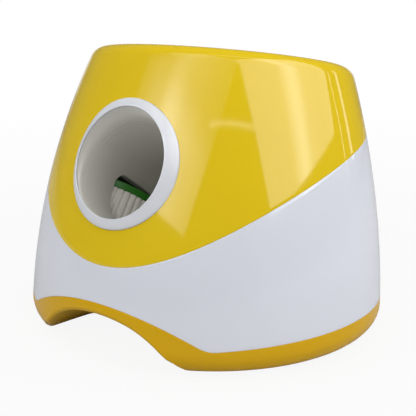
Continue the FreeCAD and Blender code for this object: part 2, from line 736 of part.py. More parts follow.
def make_hopper_bowl():
    half_x, half_y, centre = opening_plan()
    wall = size("chute_wall")
    slope = rim_slope()
    top_z = size("body_height") - size("shell_wall")
    throat_z = throat_level()
    funnels = []
    for extra in (wall, 0.0):
        top = ellipse_wire(half_x + extra, half_y + extra, centre, top_z, slope)
        bottom = ellipse_wire(size("throat_radius") + extra, size("throat_radius") + extra, 0.0, throat_z)
        funnels.append(Part.makeLoft([top, bottom], True, True))
    reach = size("bowl_rim")
    rim = Part.Face(ellipse_wire(half_x + reach, half_y + reach, centre, top_z, slope))
    rim = rim.extrude(Vector(0, 0, -wall))
    collar = Part.makeCylinder(size("throat_flange"), wall, Vector(0, 0, throat_z))
    throat = Part.makeCylinder(size("throat_radius"), wall, Vector(0, 0, throat_z))
    return funnels[0].multiFuse([rim, collar]).cut([funnels[1], throat]).removeSplitter()


def throat_level():
    """Underside of the bowl's throat, above the gate's layers."""
    layers = size("gear_width") + size("gate_wall") + 3 * size("layer_gap")
    return size("deck_level") + size("deck_wall") + layers


def make_rear_panel():
    gap = size("panel_gap")
    plate = rounded_prism(-gap).common(skin.copy())
    lip = rounded_prism(size("panel_lip")).common(lip_skin.copy())
    bosses = []
    bores = []
    board_back = size("board_y") + size("board_wall")
    backwards = Vector(0, 1, 0)
    for x, z in board_screw_places():
        spot = Vector(x, board_back, z)
        boss = Part.makeCylinder(size("boss_radius"), FAR, spot, backwards)
        bosses.append(boss.common(mid_wall.copy()))
        bores.append(Part.makeCylinder(size("small_screw"), size("small_bite"), spot, backwards))
    for side, radius in ((-1, size("power_radius")), (1, size("range_radius"))):
        spot = Vector(side * size("key_x"), size("board_y"), size("key_level"))
        bores.append(Part.makeCylinder(radius + size("key_gap"), FAR, spot, backwards))
    for step in (-1, 0, 1):
        spot = Vector(step * size("lens_pitch"), size("board_y"), size("lens_level"))
        bores.append(Part.makeCylinder(size("lens_radius"), FAR, spot, backwards))
    spot = Vector(0, size("board_y"), size("jack_level"))
    bores.append(Part.makeCylinder(size("jack_radius"), FAR, spot, backwards))
    panel = plate.fuse(lip)
    for boss in bosses:
        panel = panel.fuse(boss)
    for bore in bores:
        panel = panel.cut(bore)
    return panel.removeSplitter()


def board_screw_places():
    margin = size("boss_margin")
    across = size("panel_half") - margin
    return [(x, z) for x in (-across, across)
            for z in (size("panel_low") + margin, size("panel_high") - margin)]


node("upper_cover", computed("upper_cover_shape", make_upper_cover()))
node("lower_shell", computed("lower_shell_shape", make_lower_shell()))
node("base_tray", computed("base_tray_shape", make_base_tray()))
node("port_ring", computed("port_ring_shape", make_port_ring()))
node("hopper_bowl", computed("hopper_bowl_shape", make_hopper_bowl()))
node("rear_panel", computed("rear_panel_shape", make_rear_panel()))

# ---------------------------------------------------------------- launch tube
TUBE_OUT = "(bore_radius + tube_wall)"
WHEEL_X = "(nip_gap / 2 + wheel_radius)"
WHEEL_TOP = "(tyre_bottom + tyre_width + wheel_flange)"
SLOT_HALF = "(sqrt(wheel_radius^2 - (%s - %s)^2) + slot_margin)" % (WHEEL_X, TUBE_OUT)
CHUTE_OUT = "(throat_radius + chute_wall)"


def rounded_box(name, length, width, height, corner):
    """A box whose edges along X are rounded, as a body with one padded sketch and a fillet."""
    body = doc.addObject("PartDesign::Body", name)
    sketch = sketch_on(body, name + "_section")
    add_outline(sketch, [("0", "0"), (length, "0"), (length, width), ("0", width)])
    block = pad(body, name + "_pad", sketch, height)
    doc.recompute()
    names = ["Edge%d" % (index + 1) for index, edge in enumerate(block.Shape.Edges)
             if edge.BoundBox.XLength > block.Shape.BoundBox.XLength / 2]
    fillet = body.newObject("PartDesign::Fillet", name + "_fillet")
    fillet.Base = (block, names)
    bind(fillet, "Radius", corner)
    return body


def make_launch_tube():
    barrel = place_launch(cylinder("tube_barrel", TUBE_OUT, "tube_end - tube_start"),
                          ("0", "tube_start", "0"), "along")
    flange = place_launch(cylinder("tube_flange", TUBE_OUT + " + flange_reach", "cap_wall"),
                          ("0", "tube_end - cap_wall", "0"), "along")
    flange_top = place_launch(box("tube_flange_top", "far_reach", "far_reach", "far_reach"),
                              ("-far_reach / 2", "0", "-tube_wall"))
    half_flange = cut("tube_half_flange", flange, flange_top)
    bore = place_launch(cylinder("tube_bore", "bore_radius", "tube_end"), ("0", "0", "0"), "along")
    slots = place_launch(rounded_box("tube_slots", "far_reach", "2 * " + SLOT_HALF,
                                     "%s - tyre_bottom + slot_below + slot_above" % WHEEL_TOP,
                                     "slot_corner"),
                         ("-far_reach / 2", "wheel_station - " + SLOT_HALF, "tyre_bottom - slot_below"))
    feed = place(cylinder("tube_feed_round", "throat_radius", "body_height"), ("0", "0", "0"))
    upper = place_launch(box("tube_upper_half", "far_reach", "far_reach", "far_reach"),
                         ("-far_reach / 2", "0", "0"))
    feed_hole = common("tube_feed_hole", feed, upper)
    blank = fuse("tube_blank", barrel, half_flange)
    screws = fuse("tube_screw_holes", *cap_screw_rounds("tube_end - cap_wall", "cap_wall", "small_screw"))
    return cut("launch_tube_shape", blank, bore, slots, feed_hole, screws)


CAP_SCREW_ANGLES = (200, 250, 290, 340)  # round the tube's lower half


def cap_screw_rounds(start, length, radius):
    """Cylinders along the tube at the breech cap's screws."""
    rounds = []
    for angle in CAP_SCREW_ANGLES:
        pitch = "(%s + flange_reach / 2)" % TUBE_OUT
        item = cylinder("cap_screw_round", radius, length)
        place_launch(item, ("%s * cos(%d)" % (pitch, angle), start, "%s * sin(%d)" % (pitch, angle)), "along")
        rounds.append(item)
    return rounds


def make_breech_cap():
    disc = place_launch(cylinder("cap_disc", TUBE_OUT + " + flange_reach", "cap_wall"),
                        ("0", "tube_end", "0"), "along")
    tongue = place_launch(box("cap_tongue", "2 * (%s + tongue_side)" % CHUTE_OUT, "cap_wall", "cap_top"),
                          ("-(%s + tongue_side)" % CHUTE_OUT, "tube_end", "0"))
    holes = fuse("cap_screw_holes", *cap_screw_rounds("tube_end", "cap_wall", "small_screw + run_fit"))
    return cut("breech_cap_shape", fuse("cap_blank", disc, tongue), holes)


node("launch_tube", make_launch_tube())
node("breech_cap", make_breech_cap())
cap_heads = cap_screw_rounds("tube_end + cap_wall", "small_head_height", "small_head")
cap_shanks = cap_screw_rounds("tube_end - cap_wall", "2 * cap_wall", "small_screw")
node("cap_screws", group("cap_screw_group",
                         *[fuse("cap_screw_%d" % i, head, shank)
                           for i, (head, shank) in enumerate(zip(cap_heads, cap_shanks))]))

# ---------------------------------------------------------------- wheels and motors
MOTOR_LEVEL = "(%s + motor_gap)" % WHEEL_TOP


def make_tyre(name):
    body = doc.addObject("PartDesign::Body", name)
    section = sketch_on(body, name + "_section")
    add_circle(section, "wheel_radius")
    add_circle(section, "wheel_radius - tyre_wall")
    pad(body, name + "_pad", section, "tyre_width")
    groove = sketch_on(body, name + "_groove")
    add_outline(groove, [("wheel_radius - groove_depth", "-groove_width / 2"),
                         ("wheel_radius + groove_depth", "-groove_width / 2"),
                         ("wheel_radius + groove_depth", "groove_width / 2"),
                         ("wheel_radius - groove_depth", "groove_width / 2")])
    pocket = body.newObject("PartDesign::Pocket", name + "_pocket")
    pocket.Profile = groove
    pocket.Type = "ThroughAll"
    pocket.Reversed = True
    pattern = body.newObject("PartDesign::PolarPattern", name + "_pattern")
    pattern.Originals = [pocket]
    pattern.Axis = (groove, ["N_Axis"])
    pattern.Angle = 360
    bind(pattern, "Occurrences", "rib_count")
    body.Tip = pattern
    return body


def make_hub(name):
    """Half a section turned about the axle: boss, web, drum and top flange."""
    body = doc.addObject("PartDesign::Body", name)
    sketch = sketch_on(body, name + "_section", "XZ_Plane")
    drum = "(wheel_radius - tyre_wall)"
    top = "(tyre_width + wheel_flange)"
    web = "(tyre_width / 2)"
    add_outline(sketch, [
        ("axle_radius", "0"), ("hub_boss", "0"), ("hub_boss", web),
        (drum + " - hub_wall", web), (drum + " - hub_wall", "0"), (drum, "0"),
        (drum, "tyre_width"), ("wheel_radius - flange_inset", "tyre_width"),
        ("wheel_radius - flange_inset", top), (drum + " - hub_wall", top),
        (drum + " - hub_wall", web + " + hub_wall"), ("hub_boss", web + " + hub_wall"),
        ("hub_boss", top), ("axle_radius", top)])
    turned = body.newObject("PartDesign::Revolution", name + "_turned")
    turned.Profile = sketch
    turned.ReferenceAxis = (sketch, ["V_Axis"])
    turned.Angle = 360
    return body


def make_bracket(side, name):
    """A plate under the motor with a saddle that hugs the tube."""
    start = "wheel_station - bracket_half"
    length = "2 * bracket_half"
    level = "%s - bracket_wall" % MOTOR_LEVEL
    reach = "%s + motor_radius + bracket_wall" % WHEEL_X
    plate = box(name + "_plate", reach, length, "bracket_wall")
    place_launch(plate, ("0" if side > 0 else "-(%s)" % reach, start, level))
    sleeve = place_launch(cylinder(name + "_sleeve", TUBE_OUT + " + seat_gap + bracket_wall", length),
                          ("0", start, "0"), "along")
    zone = box(name + "_zone", "far_reach", length, "bracket_rise")
    place_launch(zone, ("%s / 2" % TUBE_OUT if side > 0 else "-far_reach - %s / 2" % TUBE_OUT, start, level))
    saddle = common(name + "_saddle", sleeve, zone)
    tube_room = place_launch(cylinder(name + "_room", TUBE_OUT + " + seat_gap", "tube_end"),
                             ("0", "0", "0"), "along")
    nose = place_launch(cylinder(name + "_nose", "motor_nose + seat_gap", "bracket_wall"),
                        ("%d * %s" % (side, WHEEL_X), "wheel_station", level))
    axle_x = "%d * %s" % (side, WHEEL_X)
    screws = [place_launch(cylinder(name + "_screw_hole", "small_screw + run_fit", "bracket_wall"),
                           (axle_x, "wheel_station + %d * motor_screw_pitch" % step, level))
              for step in (-1, 1)]
    chute_room = cylinder(name + "_chute_room", CHUTE_OUT + " + lean_gap", "body_height")
    place(chute_room, ("0", "0", "0"))
    return cut(name + "_shape", fuse(name + "_blank", plate, saddle), tube_room, nose, chute_room, *screws)


def make_motor(side, name):
    at = "%d * %s" % (side, WHEEL_X)
    can = place_launch(cylinder(name + "_can", "motor_radius", "motor_length"),
                       (at, "wheel_station", MOTOR_LEVEL))
    nose = place_launch(cylinder(name + "_nose", "motor_nose", "bracket_wall"),
                        (at, "wheel_station", "%s - bracket_wall" % MOTOR_LEVEL))
    bearing = place_launch(cylinder(name + "_bearing", "axle_radius + run_fit", "bracket_wall + shaft_bite"),
                           (at, "wheel_station", "%s - bracket_wall" % MOTOR_LEVEL))
    taps = [place_launch(cylinder(name + "_tap", "small_screw", "small_bite"),
                         (at, "wheel_station + %d * motor_screw_pitch" % step, MOTOR_LEVEL))
            for step in (-1, 1)]
    return cut(name + "_shape", fuse(name + "_blank", can, nose), bearing, *taps)


motor_screws = []
for side, word in ((-1, "left"), (1, "right")):
    wheel_at = "%d * %s" % (side, WHEEL_X)
    seat = (wheel_at, "wheel_station", "tyre_bottom")
    node(word + "_wheel_tyre", place_launch(make_tyre(word + "_tyre_body"), seat))
    node(word + "_wheel_hub", place_launch(make_hub(word + "_hub_body"), seat))
    shaft_length = "%s - tyre_bottom + shaft_bite - shaft_end_gap" % MOTOR_LEVEL
    axle = round_body(word + "_shaft_body", "axle_radius", shaft_length)
    node(word + "_wheel_shaft", place_launch(axle, seat))
    node(word + "_motor_bracket", make_bracket(side, word + "_bracket"))
    node(word + "_launch_motor", make_motor(side, word + "_motor"))
    for step in (-1, 1):
        spot = "wheel_station + %d * motor_screw_pitch" % step
        level = "%s - bracket_wall" % MOTOR_LEVEL
        shank = place_launch(cylinder("motor_screw_shank", "small_screw", "bracket_wall + small_bite"),
                             (wheel_at, spot, level))
        head = place_launch(cylinder("motor_screw_head", "small_head", "small_head_height"),
                            (wheel_at, spot, level + " - small_head_height"))
        motor_screws.append(fuse("motor_screw", shank, head))
node("motor_screws", group("motor_screw_group", *motor_screws))

# ---------------------------------------------------------------- feed chute and gate
DECK_TOP = "(deck_level + deck_wall)"
GEAR_LEVEL = "(%s + layer_gap)" % DECK_TOP
GATE_LEVEL = "(%s + gear_width + layer_gap)" % GEAR_LEVEL
THROAT_LEVEL = "(%s + gate_wall + layer_gap)" % GATE_LEVEL
PINION_Y = "(gear_module * (gear_teeth + pinion_teeth) / 2)"
PILLAR_ANGLES = (150, 225, 315)  # round the throat, clear of the gate's sweep


def make_feed_chute():
    pipe = place(cylinder("chute_pipe", CHUTE_OUT, DECK_TOP + " - chute_wall"), ("0", "0", "chute_wall"))
    deck = place(box("chute_deck", "deck_left + deck_right", "deck_front + deck_back", "deck_wall"),
                 ("-deck_left", "-deck_front", "deck_level"))
    boss = place(cylinder("chute_gate_boss", "gate_boss", "gate_boss_drop"),
                 ("gate_x", "0", "deck_level - gate_boss_drop"))
    pillars = [place(cylinder("chute_pillar", "pillar_radius", "%s - deck_level" % THROAT_LEVEL),
                     ("pillar_pitch * cos(%d)" % angle, "pillar_pitch * sin(%d)" % angle, "deck_level"))
               for angle in PILLAR_ANGLES]
    bore = place(cylinder("chute_bore", "throat_radius", "body_height"), ("0", "0", "0"))
    shaft_hole = place(cylinder("chute_shaft_hole", "gate_shaft_radius + run_fit", "body_height"),
                       ("gate_x", "0", "0"))
    motor_hole = place(cylinder("chute_motor_hole", "pinion_room", "body_height"),
                       ("gate_x", PINION_Y, "0"))
    tube_room = place_launch(cylinder("chute_tube_room", TUBE_OUT + " + seat_gap", "3 * tube_end"),
                             ("0", "-tube_end", "0"), "along")
    cap_room = place_launch(box("chute_cap_room", "far_reach", "far_reach", "2 * far_reach"),
                            ("-far_reach / 2", "tube_end", "-far_reach"))
    low_room = place_launch(box("chute_low_room", "far_reach", "2 * far_reach", "far_reach"),
                            ("-far_reach / 2", "-far_reach", "-far_reach"))
    screw_holes = [place(cylinder("chute_screw_hole", "small_screw + run_fit", "body_height"),
                         ("gate_x + %d * gate_screw_pitch" % step, PINION_Y, "0")) for step in (-1, 1)]
    return cut("feed_chute_shape", fuse("chute_blank", pipe, deck, boss, *pillars),
               bore, shaft_hole, motor_hole, tube_room, cap_room, low_room, *screw_holes)


PRESSURE_ANGLE = 20.0  # degrees, the usual one for moulded gears
DEDENDUM = 1.25  # root depth of a tooth, in modules


def gear_shape(teeth, width, bore, phase):
    """An involute gear, thinned by its backlash, with its first tooth at a phase in degrees."""
    module = size("gear_module")
    pressure = math.radians(PRESSURE_ANGLE)
    pitch = module * teeth / 2
    base = pitch * math.cos(pressure)
    tip = pitch + module
    root = pitch - DEDENDUM * module
    half_tooth = math.pi / (2 * teeth) - size("gear_slack") / (2 * pitch)
    start = max(base, root)
    steps = 5

    def involute(radius):
        angle = math.acos(min(1.0, base / radius))
        return math.tan(angle) - angle

    flank = []
    for index in range(steps + 1):
        radius = start + (tip - start) * index / steps
        flank.append((radius, half_tooth + involute(pitch) - involute(radius)))
    points = []
    for tooth in range(int(teeth)):
        middle = 2 * math.pi * tooth / teeth + math.radians(phase)
        sides = [(root, -flank[0][1])] + [(r, -a) for r, a in flank]
        sides += [(r, a) for r, a in reversed(flank)] + [(root, flank[0][1])]
        for radius, angle in sides:
            points.append(Vector(radius * math.cos(middle + angle), radius * math.sin(middle + angle), 0))
    outline = Part.makePolygon(points + points[:1])
    gear = Part.Face(outline).extrude(Vector(0, 0, width))
    return gear.cut(Part.makeCylinder(bore, width))


def make_gate_gear():
    item = computed("gate_gear_shape", gear_shape(size("gear_teeth"), size("gear_width"),
                                                  size("gate_shaft_radius"), 0.0))
    return place(item, ("gate_x", "0", GEAR_LEVEL))


def make_gate_pinion():
    """The pinion and the motor shaft that it is moulded on."""
    half_pitch = 180.0 / size("pinion_teeth")
    teeth = computed("pinion_teeth_shape", gear_shape(size("pinion_teeth"), size("gear_width"),
                                                      size("pinion_shaft_radius"), half_pitch))
    place(teeth, ("gate_x", PINION_Y, GEAR_LEVEL))
    shaft = place(cylinder("pinion_shaft", "pinion_shaft_radius",
                           "%s + gear_width - deck_level + pinion_bite" % GEAR_LEVEL),
                  ("gate_x", PINION_Y, "deck_level - pinion_bite"))
    return fuse("gate_pinion_shape", teeth, shaft)


def make_gate_finger():
    """A tapered finger under the throat, with a hub on the shaft."""
    body = doc.addObject("PartDesign::Body", "gate_finger_body")
    blade = sketch_on(body, "gate_finger_blade")
    add_outline(blade, [("-gate_reach", "-gate_tip_half"), ("0", "-gate_hub"),
                        ("0", "gate_hub"), ("-gate_reach", "gate_tip_half")])
    pad(body, "gate_finger_pad", blade, "gate_wall")
    hub = sketch_on(body, "gate_finger_hub")
    add_circle(hub, "gate_hub")
    pad(body, "gate_finger_hub_pad", hub, "gate_wall")
    hole = sketch_on(body, "gate_finger_hole")
    add_circle(hole, "gate_shaft_radius")
    pocket = body.newObject("PartDesign::Pocket", "gate_finger_bore")
    pocket.Profile = hole
    pocket.Type = "ThroughAll"
    pocket.Reversed = True
    return place(body, ("gate_x", "0", GATE_LEVEL))


def make_gate_motor():
    can = place(cylinder("gate_motor_can", "gate_motor_radius", "gate_motor_length"),
                ("gate_x", PINION_Y, "deck_level - gate_motor_length"))
    bore = place(cylinder("gate_motor_bore", "pinion_shaft_radius + run_fit", "pinion_bite + layer_gap"),
                 ("gate_x", PINION_Y, "deck_level - pinion_bite - layer_gap"))
    taps = [place(cylinder("gate_motor_tap", "small_screw", "small_bite"),
                  ("gate_x + %d * gate_screw_pitch" % step, PINION_Y, "deck_level - small_bite"))
            for step in (-1, 1)]
    return cut("gate_motor_shape", can, bore, *taps)


node("feed_chute", make_feed_chute())
node("gate_gear", make_gate_gear())
node("gate_pinion", make_gate_pinion())
node("gate_finger", make_gate_finger())
CLIP_LEVEL = "(deck_level - gate_boss_drop - clip_wall - run_fit)"
shaft = round_body("gate_shaft_body", "gate_shaft_radius", "%s + gate_wall + layer_gap / 2 - %s + clip_wall"
                   % (GATE_LEVEL, CLIP_LEVEL))
node("gate_shaft", place(shaft, ("gate_x", "0", CLIP_LEVEL + " - clip_wall")))
clip = round_body("gate_clip_body", "clip_radius", "clip_wall", "gate_shaft_radius")
node("gate_clip", place(clip, ("gate_x", "0", CLIP_LEVEL)))
node("gate_motor", make_gate_motor())
gate_screws = []
for step in (-1, 1):
    across = "gate_x + %d * gate_screw_pitch" % step
    shank = place(cylinder("gate_screw_shank", "small_screw", "deck_wall + small_bite"),
                  (across, PINION_Y, "deck_level - small_bite"))
    head = place(cylinder("gate_screw_head", "gate_head", "layer_gap - seat_gap"),
                 (across, PINION_Y, DECK_TOP))
    gate_screws.append(fuse("gate_screw", shank, head))
node("gate_motor_screws", group("gate_screw_group", *gate_screws))

sensors = []
for side in (-1, 1):
    block = place(box("sensor_block", "sensor_side", "sensor_side", "sensor_rise"),
                  ("%d * (%s + sensor_side / 2 - sensor_seat) - sensor_side / 2" % (side, CHUTE_OUT),
                   "-sensor_side / 2", "deck_level - sensor_drop"))
    room = place(cylinder("sensor_room", CHUTE_OUT, "body_height"), ("0", "0", "0"))
    sensors.append(cut("sensor_%s" % ("left" if side < 0 else "right"), block, room))
node("ball_sensors", group("ball_sensor_group", *sensors))

# ---------------------------------------------------------------- cradle under the tube
FLOOR_TOP = "(tunnel_height + shell_wall)"
block = place(box("cradle_block", "2 * cradle_half", "cradle_depth", "cradle_top - tunnel_height"),
              ("-cradle_half", "-cradle_front", "tunnel_height"))
window = place(box("cradle_gap", "2 * (cradle_half - cradle_leg)", "cradle_depth", "cradle_window"),
               ("-cradle_half + cradle_leg", "-cradle_front", FLOOR_TOP + " + shell_wall"))
room = place_launch(cylinder("cradle_room", TUBE_OUT + " + seat_gap", "tube_end"), ("0", "0", "0"), "along")
floor_room = computed("cradle_floor_room", tunnel(size("shell_wall")))
node("tube_cradle", cut("tube_cradle_shape", block, window, room, floor_room))

# ---------------------------------------------------------------- rear electronics
BOARD_BACK = "(board_y + board_wall)"
board = place(box("board_plate", "2 * (panel_half - board_margin)", "board_wall",
                  "panel_high - panel_low - 2 * board_margin"),
              ("-(panel_half - board_margin)", "board_y", "panel_low + board_margin"))
board_holes = []
board_screws = []
for side_x in (-1, 1):
    for level in ("panel_low + boss_margin", "panel_high - boss_margin"):
        across = "%d * (panel_half - boss_margin)" % side_x
        board_holes.append(place(cylinder("board_hole", "small_screw + run_fit", "board_wall"),
                                 (across, "board_y", level), "y"))
        shank = place(cylinder("board_screw_shank", "small_screw", "board_wall + small_bite"),
                      (across, "board_y", level), "y")
        head = place(cylinder("board_screw_head", "small_head", "small_head_height"),
                     (across, "board_y - small_head_height", level), "y")
        board_screws.append(fuse("board_screw", shank, head))
node("control_board", cut("control_board_shape", board, *board_holes))
node("board_screws", group("board_screw_group", *board_screws))


def make_switch(side):
    can = place(box("switch_can", "switch_side", "switch_rise", "switch_side"),
                ("%d * key_x - switch_side / 2" % side, BOARD_BACK, "key_level - switch_side / 2"))
    plunger = place(cylinder("switch_plunger", "plunger_radius", "switch_rise + plunger_rise"),
                    ("%d * key_x" % side, BOARD_BACK, "key_level"), "y")
    return fuse("switch_%s" % ("left" if side < 0 else "right"), can, plunger)


def make_button(side, radius_name, name):
    """A button with a stem, a flange behind the panel and a softly rounded face."""
    radius = size(radius_name)
    face_y = back_surface(size("key_x"), size("key_level")) + size("key_proud")
    stem_y = (size("board_y") + size("board_wall") + size("switch_rise") + size("plunger_rise")
              + size("key_travel") + size("key_gap"))
    flange_edge = radius + size("key_flange")
    wall = size("shell_wall") + size("lip_wall")
    panel_back = back_surface(size("key_x") + flange_edge, size("key_level") + flange_edge) - wall
    flange_top = panel_back - size("key_gap")
    flange_low = flange_top - size("key_flange")
    crown = size("key_proud") / 2
    outline = [
        Vector(0, 0, stem_y), Vector(size("key_stem"), 0, stem_y), Vector(size("key_stem"), 0, flange_low),
        Vector(flange_edge, 0, flange_low), Vector(flange_edge, 0, flange_top),
        Vector(radius, 0, flange_top), Vector(radius, 0, face_y - crown)]
    edges = [Part.makeLine(a, b) for a, b in zip(outline, outline[1:])]
    edge_point = Vector(radius - crown, 0, face_y - crown * 0.25)
    edges.append(curve_through(outline[-1], Vector(radius, 0, edge_point.z), edge_point))
    edges.append(curve_through(edge_point, Vector(radius / 2, 0, face_y), Vector(0, 0, face_y)))
    edges.append(Part.makeLine(Vector(0, 0, face_y), outline[0]))
    solid = Part.Face(Part.Wire(edges)).revolve(Vector(), Vector(0, 0, 1), 360)
    return place(computed(name, solid), ("%d * key_x" % side, "0", "key_level"), "y")


node("tact_switches", group("switch_group", make_switch(-1), make_switch(1)))
node("power_button", make_button(-1, "power_radius", "power_button_shape"))
node("range_button", make_button(1, "range_radius", "range_button_shape"))

lens_y = back_surface(size("lens_pitch"), size("lens_level"))
lenses = [place(computed("indicator_lens", Part.makeCylinder(size("lens_radius"),
                                                            lens_y - size("board_y") - size("board_wall"))),
                ("%d * lens_pitch" % step, BOARD_BACK, "lens_level"), "y") for step in (-1, 0, 1)]
node("indicator_lenses", group("lens_group", *lenses))

jack_face = back_surface(0.0, size("jack_level")) + size("key_gap")
jack_length = jack_face - size("board_y") - size("board_wall")
jack_barrel = Part.makeCylinder(size("jack_radius"), jack_length)
jack_block = Part.makeBox(size("jack_block"), size("jack_block"), size("jack_block"),
                          Vector(-size("jack_block") / 2, -size("jack_block") / 2, 0))
jack_hole = Part.makeCylinder(size("jack_bore"), size("jack_depth"),
                              Vector(0, 0, jack_length - size("jack_depth")))
jack = computed("power_inlet_shape", jack_barrel.fuse(jack_block).cut(jack_hole).removeSplitter())
node("power_inlet", place(jack, ("0", BOARD_BACK, "jack_level"), "y"))

# ---------------------------------------------------------------- batteries and hatch
cells = []
for index in range(int(size("cell_count"))):
    at_y = "cell_front + cell_radius + %d * (2 * cell_radius + cell_gap)" % index
    cells.append(place(cylinder("cell_%d" % index, "cell_radius", "cell_length"),
                       ("-cell_length / 2", at_y, FLOOR_TOP + " + cell_radius"), "x"))
node("battery_cells", group("cell_group", *cells))

CELLS_DEPTH = "(cell_count * (2 * cell_radius + cell_gap))"
plates = [place(box("contact_plate", "contact_wall", CELLS_DEPTH, "2 * cell_radius"),
                ("%d * (cell_length + contact_wall) / 2 - contact_wall / 2" % side, "cell_front", FLOOR_TOP))
          for side in (-1, 1)]
node("cell_contacts", group("contact_group", *plates))

HATCH_HALF = "(cell_length / 2 + hatch_margin)"
hatch_plate = place(box("hatch_plate", "2 * (%s - hatch_gap)" % HATCH_HALF,
                        "%s + 2 * (hatch_margin - hatch_gap)" % CELLS_DEPTH, "shell_wall"),
                    ("hatch_gap - %s" % HATCH_HALF, "cell_front - hatch_margin + hatch_gap", "tunnel_height"))
node("battery_hatch", hatch_plate)

# ---------------------------------------------------------------- pads and casing screws
pads = []
casing_screws = []
for side_x in (-1, 1):
    for side_y in (-1, 1):
        pads.append(place(cylinder("pad", "pad_radius", "foot_gap + pad_sink"),
                          ("%d * pad_x" % side_x, "%d * pad_y" % side_y, "0")))
        head = place(cylinder("casing_screw_head", "head_radius", "head_height"),
                     ("%d * post_x" % side_x, "%d * post_y" % side_y, "head_sink"))
        shank = place(cylinder("casing_screw_shank", "screw_radius",
                               "post_joint - head_sink + (post_top - post_joint) / 2"),
                      ("%d * post_x" % side_x, "%d * post_y" % side_y, "head_sink"))
        casing_screws.append(fuse("casing_screw", head, shank))
node("foot_pads", group("pad_group", *pads))
node("casing_screws", group("casing_screw_group", *casing_screws))


# ---------------------------------------------------------------- leads
def lead(points):
    """A round lead along straight runs joined by tangent arcs."""
    edges = []
    start = points[0]
    for before, corner, after in zip(points, points[1:], points[2:]):
        inwards = (before - corner).normalize()
        outwards = (after - corner).normalize()
        turn = math.pi - inwards.getAngle(outwards)
        setback = size("lead_bend") * math.tan(turn / 2)
        arc_start = corner + inwards * setback
        arc_end = corner + outwards * setback
        middle = (inwards + outwards).normalize()
        arc_middle = corner + middle * (size("lead_bend") / math.cos(turn / 2) - size("lead_bend"))
        edges.append(Part.makeLine(start, arc_start))
        edges.append(Part.Arc(arc_start, arc_middle, arc_end).toShape())
        start = arc_end
    edges.append(Part.makeLine(start, points[-1]))
    path = Part.Wire(edges)
    section = Part.Wire([Part.Circle(points[0], points[1] - points[0], size("lead_radius")).toShape()])
    solid = path.makePipeShell([section], True, True)
    expected = path.Length * math.pi * size("lead_radius") ** 2
    if abs(solid.Volume / expected - 1) > 0.02:
        raise ValueError("a lead's volume is off")
    return solid


def launch_point(x, along, up):
    """A point of the launch tube's frame, in the body's frame."""
    angle = math.radians(size("launch_angle"))
    return Vector(x, port_y + along * math.cos(angle) + up * math.sin(angle),
                  size("port_height") - along * math.sin(angle) + up * math.cos(angle))


def motor_lead(side, offset):
    """From the back of a launch motor, under the deck, to the control board."""
    wheel_x = size("nip_gap") / 2 + size("wheel_radius")
    motor_top = (size("tyre_bottom") + size("tyre_width") + size("wheel_flange") + size("motor_gap")
                 + size("motor_length"))
    start = launch_point(side * (wheel_x + offset), size("wheel_station"), motor_top)
    rise = launch_point(side * (wheel_x + offset), size("wheel_station"), motor_top + size("lead_rise"))
    board_x = side * (size("lead_x") + offset)
    swing_x = side * (wheel_x + size("lead_swing") + offset)
    drop = Vector(swing_x, size("lead_pass"), rise.z - size("lead_fall"))
    turn = Vector(board_x, size("board_y") - size("lead_run"), size("lead_level"))
    end = Vector(board_x, size("board_y"), size("lead_level"))
    return lead([start, rise, drop, turn, end])


red = [computed("red_lead_left", motor_lead(-1, size("lead_gap"))),
       computed("red_lead_right", motor_lead(1, size("lead_gap")))]
black = [computed("black_lead_left", motor_lead(-1, -size("lead_gap"))),
         computed("black_lead_right", motor_lead(1, -size("lead_gap")))]
node("red_motor_leads", group("red_lead_group", *red))
node("black_motor_leads", group("black_lead_group", *black))

# ---------------------------------------------------------------- checks and files
doc.recompute()
for item in doc.Objects:
    if "Invalid" in item.State or "Error" in item.State:
        raise RuntimeError("failed object: %s %s" % (item.Name, item.State))
os.makedirs("parts", exist_ok=True)
for item in NODES:
    shape = item.Shape
    if shape.isNull() or not shape.isValid() or not shape.Solids:
        raise RuntimeError("bad shape: " + item.Label)
    print("%-20s %2d solids %10.1f mm3" % (item.Label, len(shape.Solids), shape.Volume))
    shape.exportStep("parts/%s.step" % item.Label)
print(len(NODES), "nodes")
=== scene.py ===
# %% [markdown]
# # An automatic ball launcher for a dog
# A bell-shaped case stands on two feet.  Balls go into a bowl on top, a gate lets them
# through one at a time, and two spinning wheels throw them out of the port in front.  The
# CAD parts are loaded first and stay where they are.  Each visible shell is then made again
# as a fine mesh with soft edges, because glossy plastic shows every facet.

# %% Load the CAD parts
import bmesh
import bpy
import math
import numpy as np
from mathutils import Matrix, Vector


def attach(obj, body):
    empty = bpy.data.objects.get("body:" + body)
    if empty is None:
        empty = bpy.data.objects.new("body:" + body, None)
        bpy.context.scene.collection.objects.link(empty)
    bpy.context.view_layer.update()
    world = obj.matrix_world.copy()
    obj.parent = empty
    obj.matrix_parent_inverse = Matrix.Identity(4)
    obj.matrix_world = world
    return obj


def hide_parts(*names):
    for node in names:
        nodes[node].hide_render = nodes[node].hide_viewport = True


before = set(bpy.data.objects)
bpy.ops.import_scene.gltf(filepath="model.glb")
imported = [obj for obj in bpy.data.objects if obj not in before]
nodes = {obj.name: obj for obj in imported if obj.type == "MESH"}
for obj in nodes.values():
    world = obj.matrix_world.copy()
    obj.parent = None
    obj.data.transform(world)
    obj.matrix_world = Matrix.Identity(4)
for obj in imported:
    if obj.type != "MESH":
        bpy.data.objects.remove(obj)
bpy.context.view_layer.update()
print("CAD nodes:", len(nodes))

# %% [markdown]
# ## Sizes
# The shells follow the CAD's rules: at each height an ellipse whose half widths and centre
# change smoothly.  Sizes are in millimetres, and MM turns them to metres.

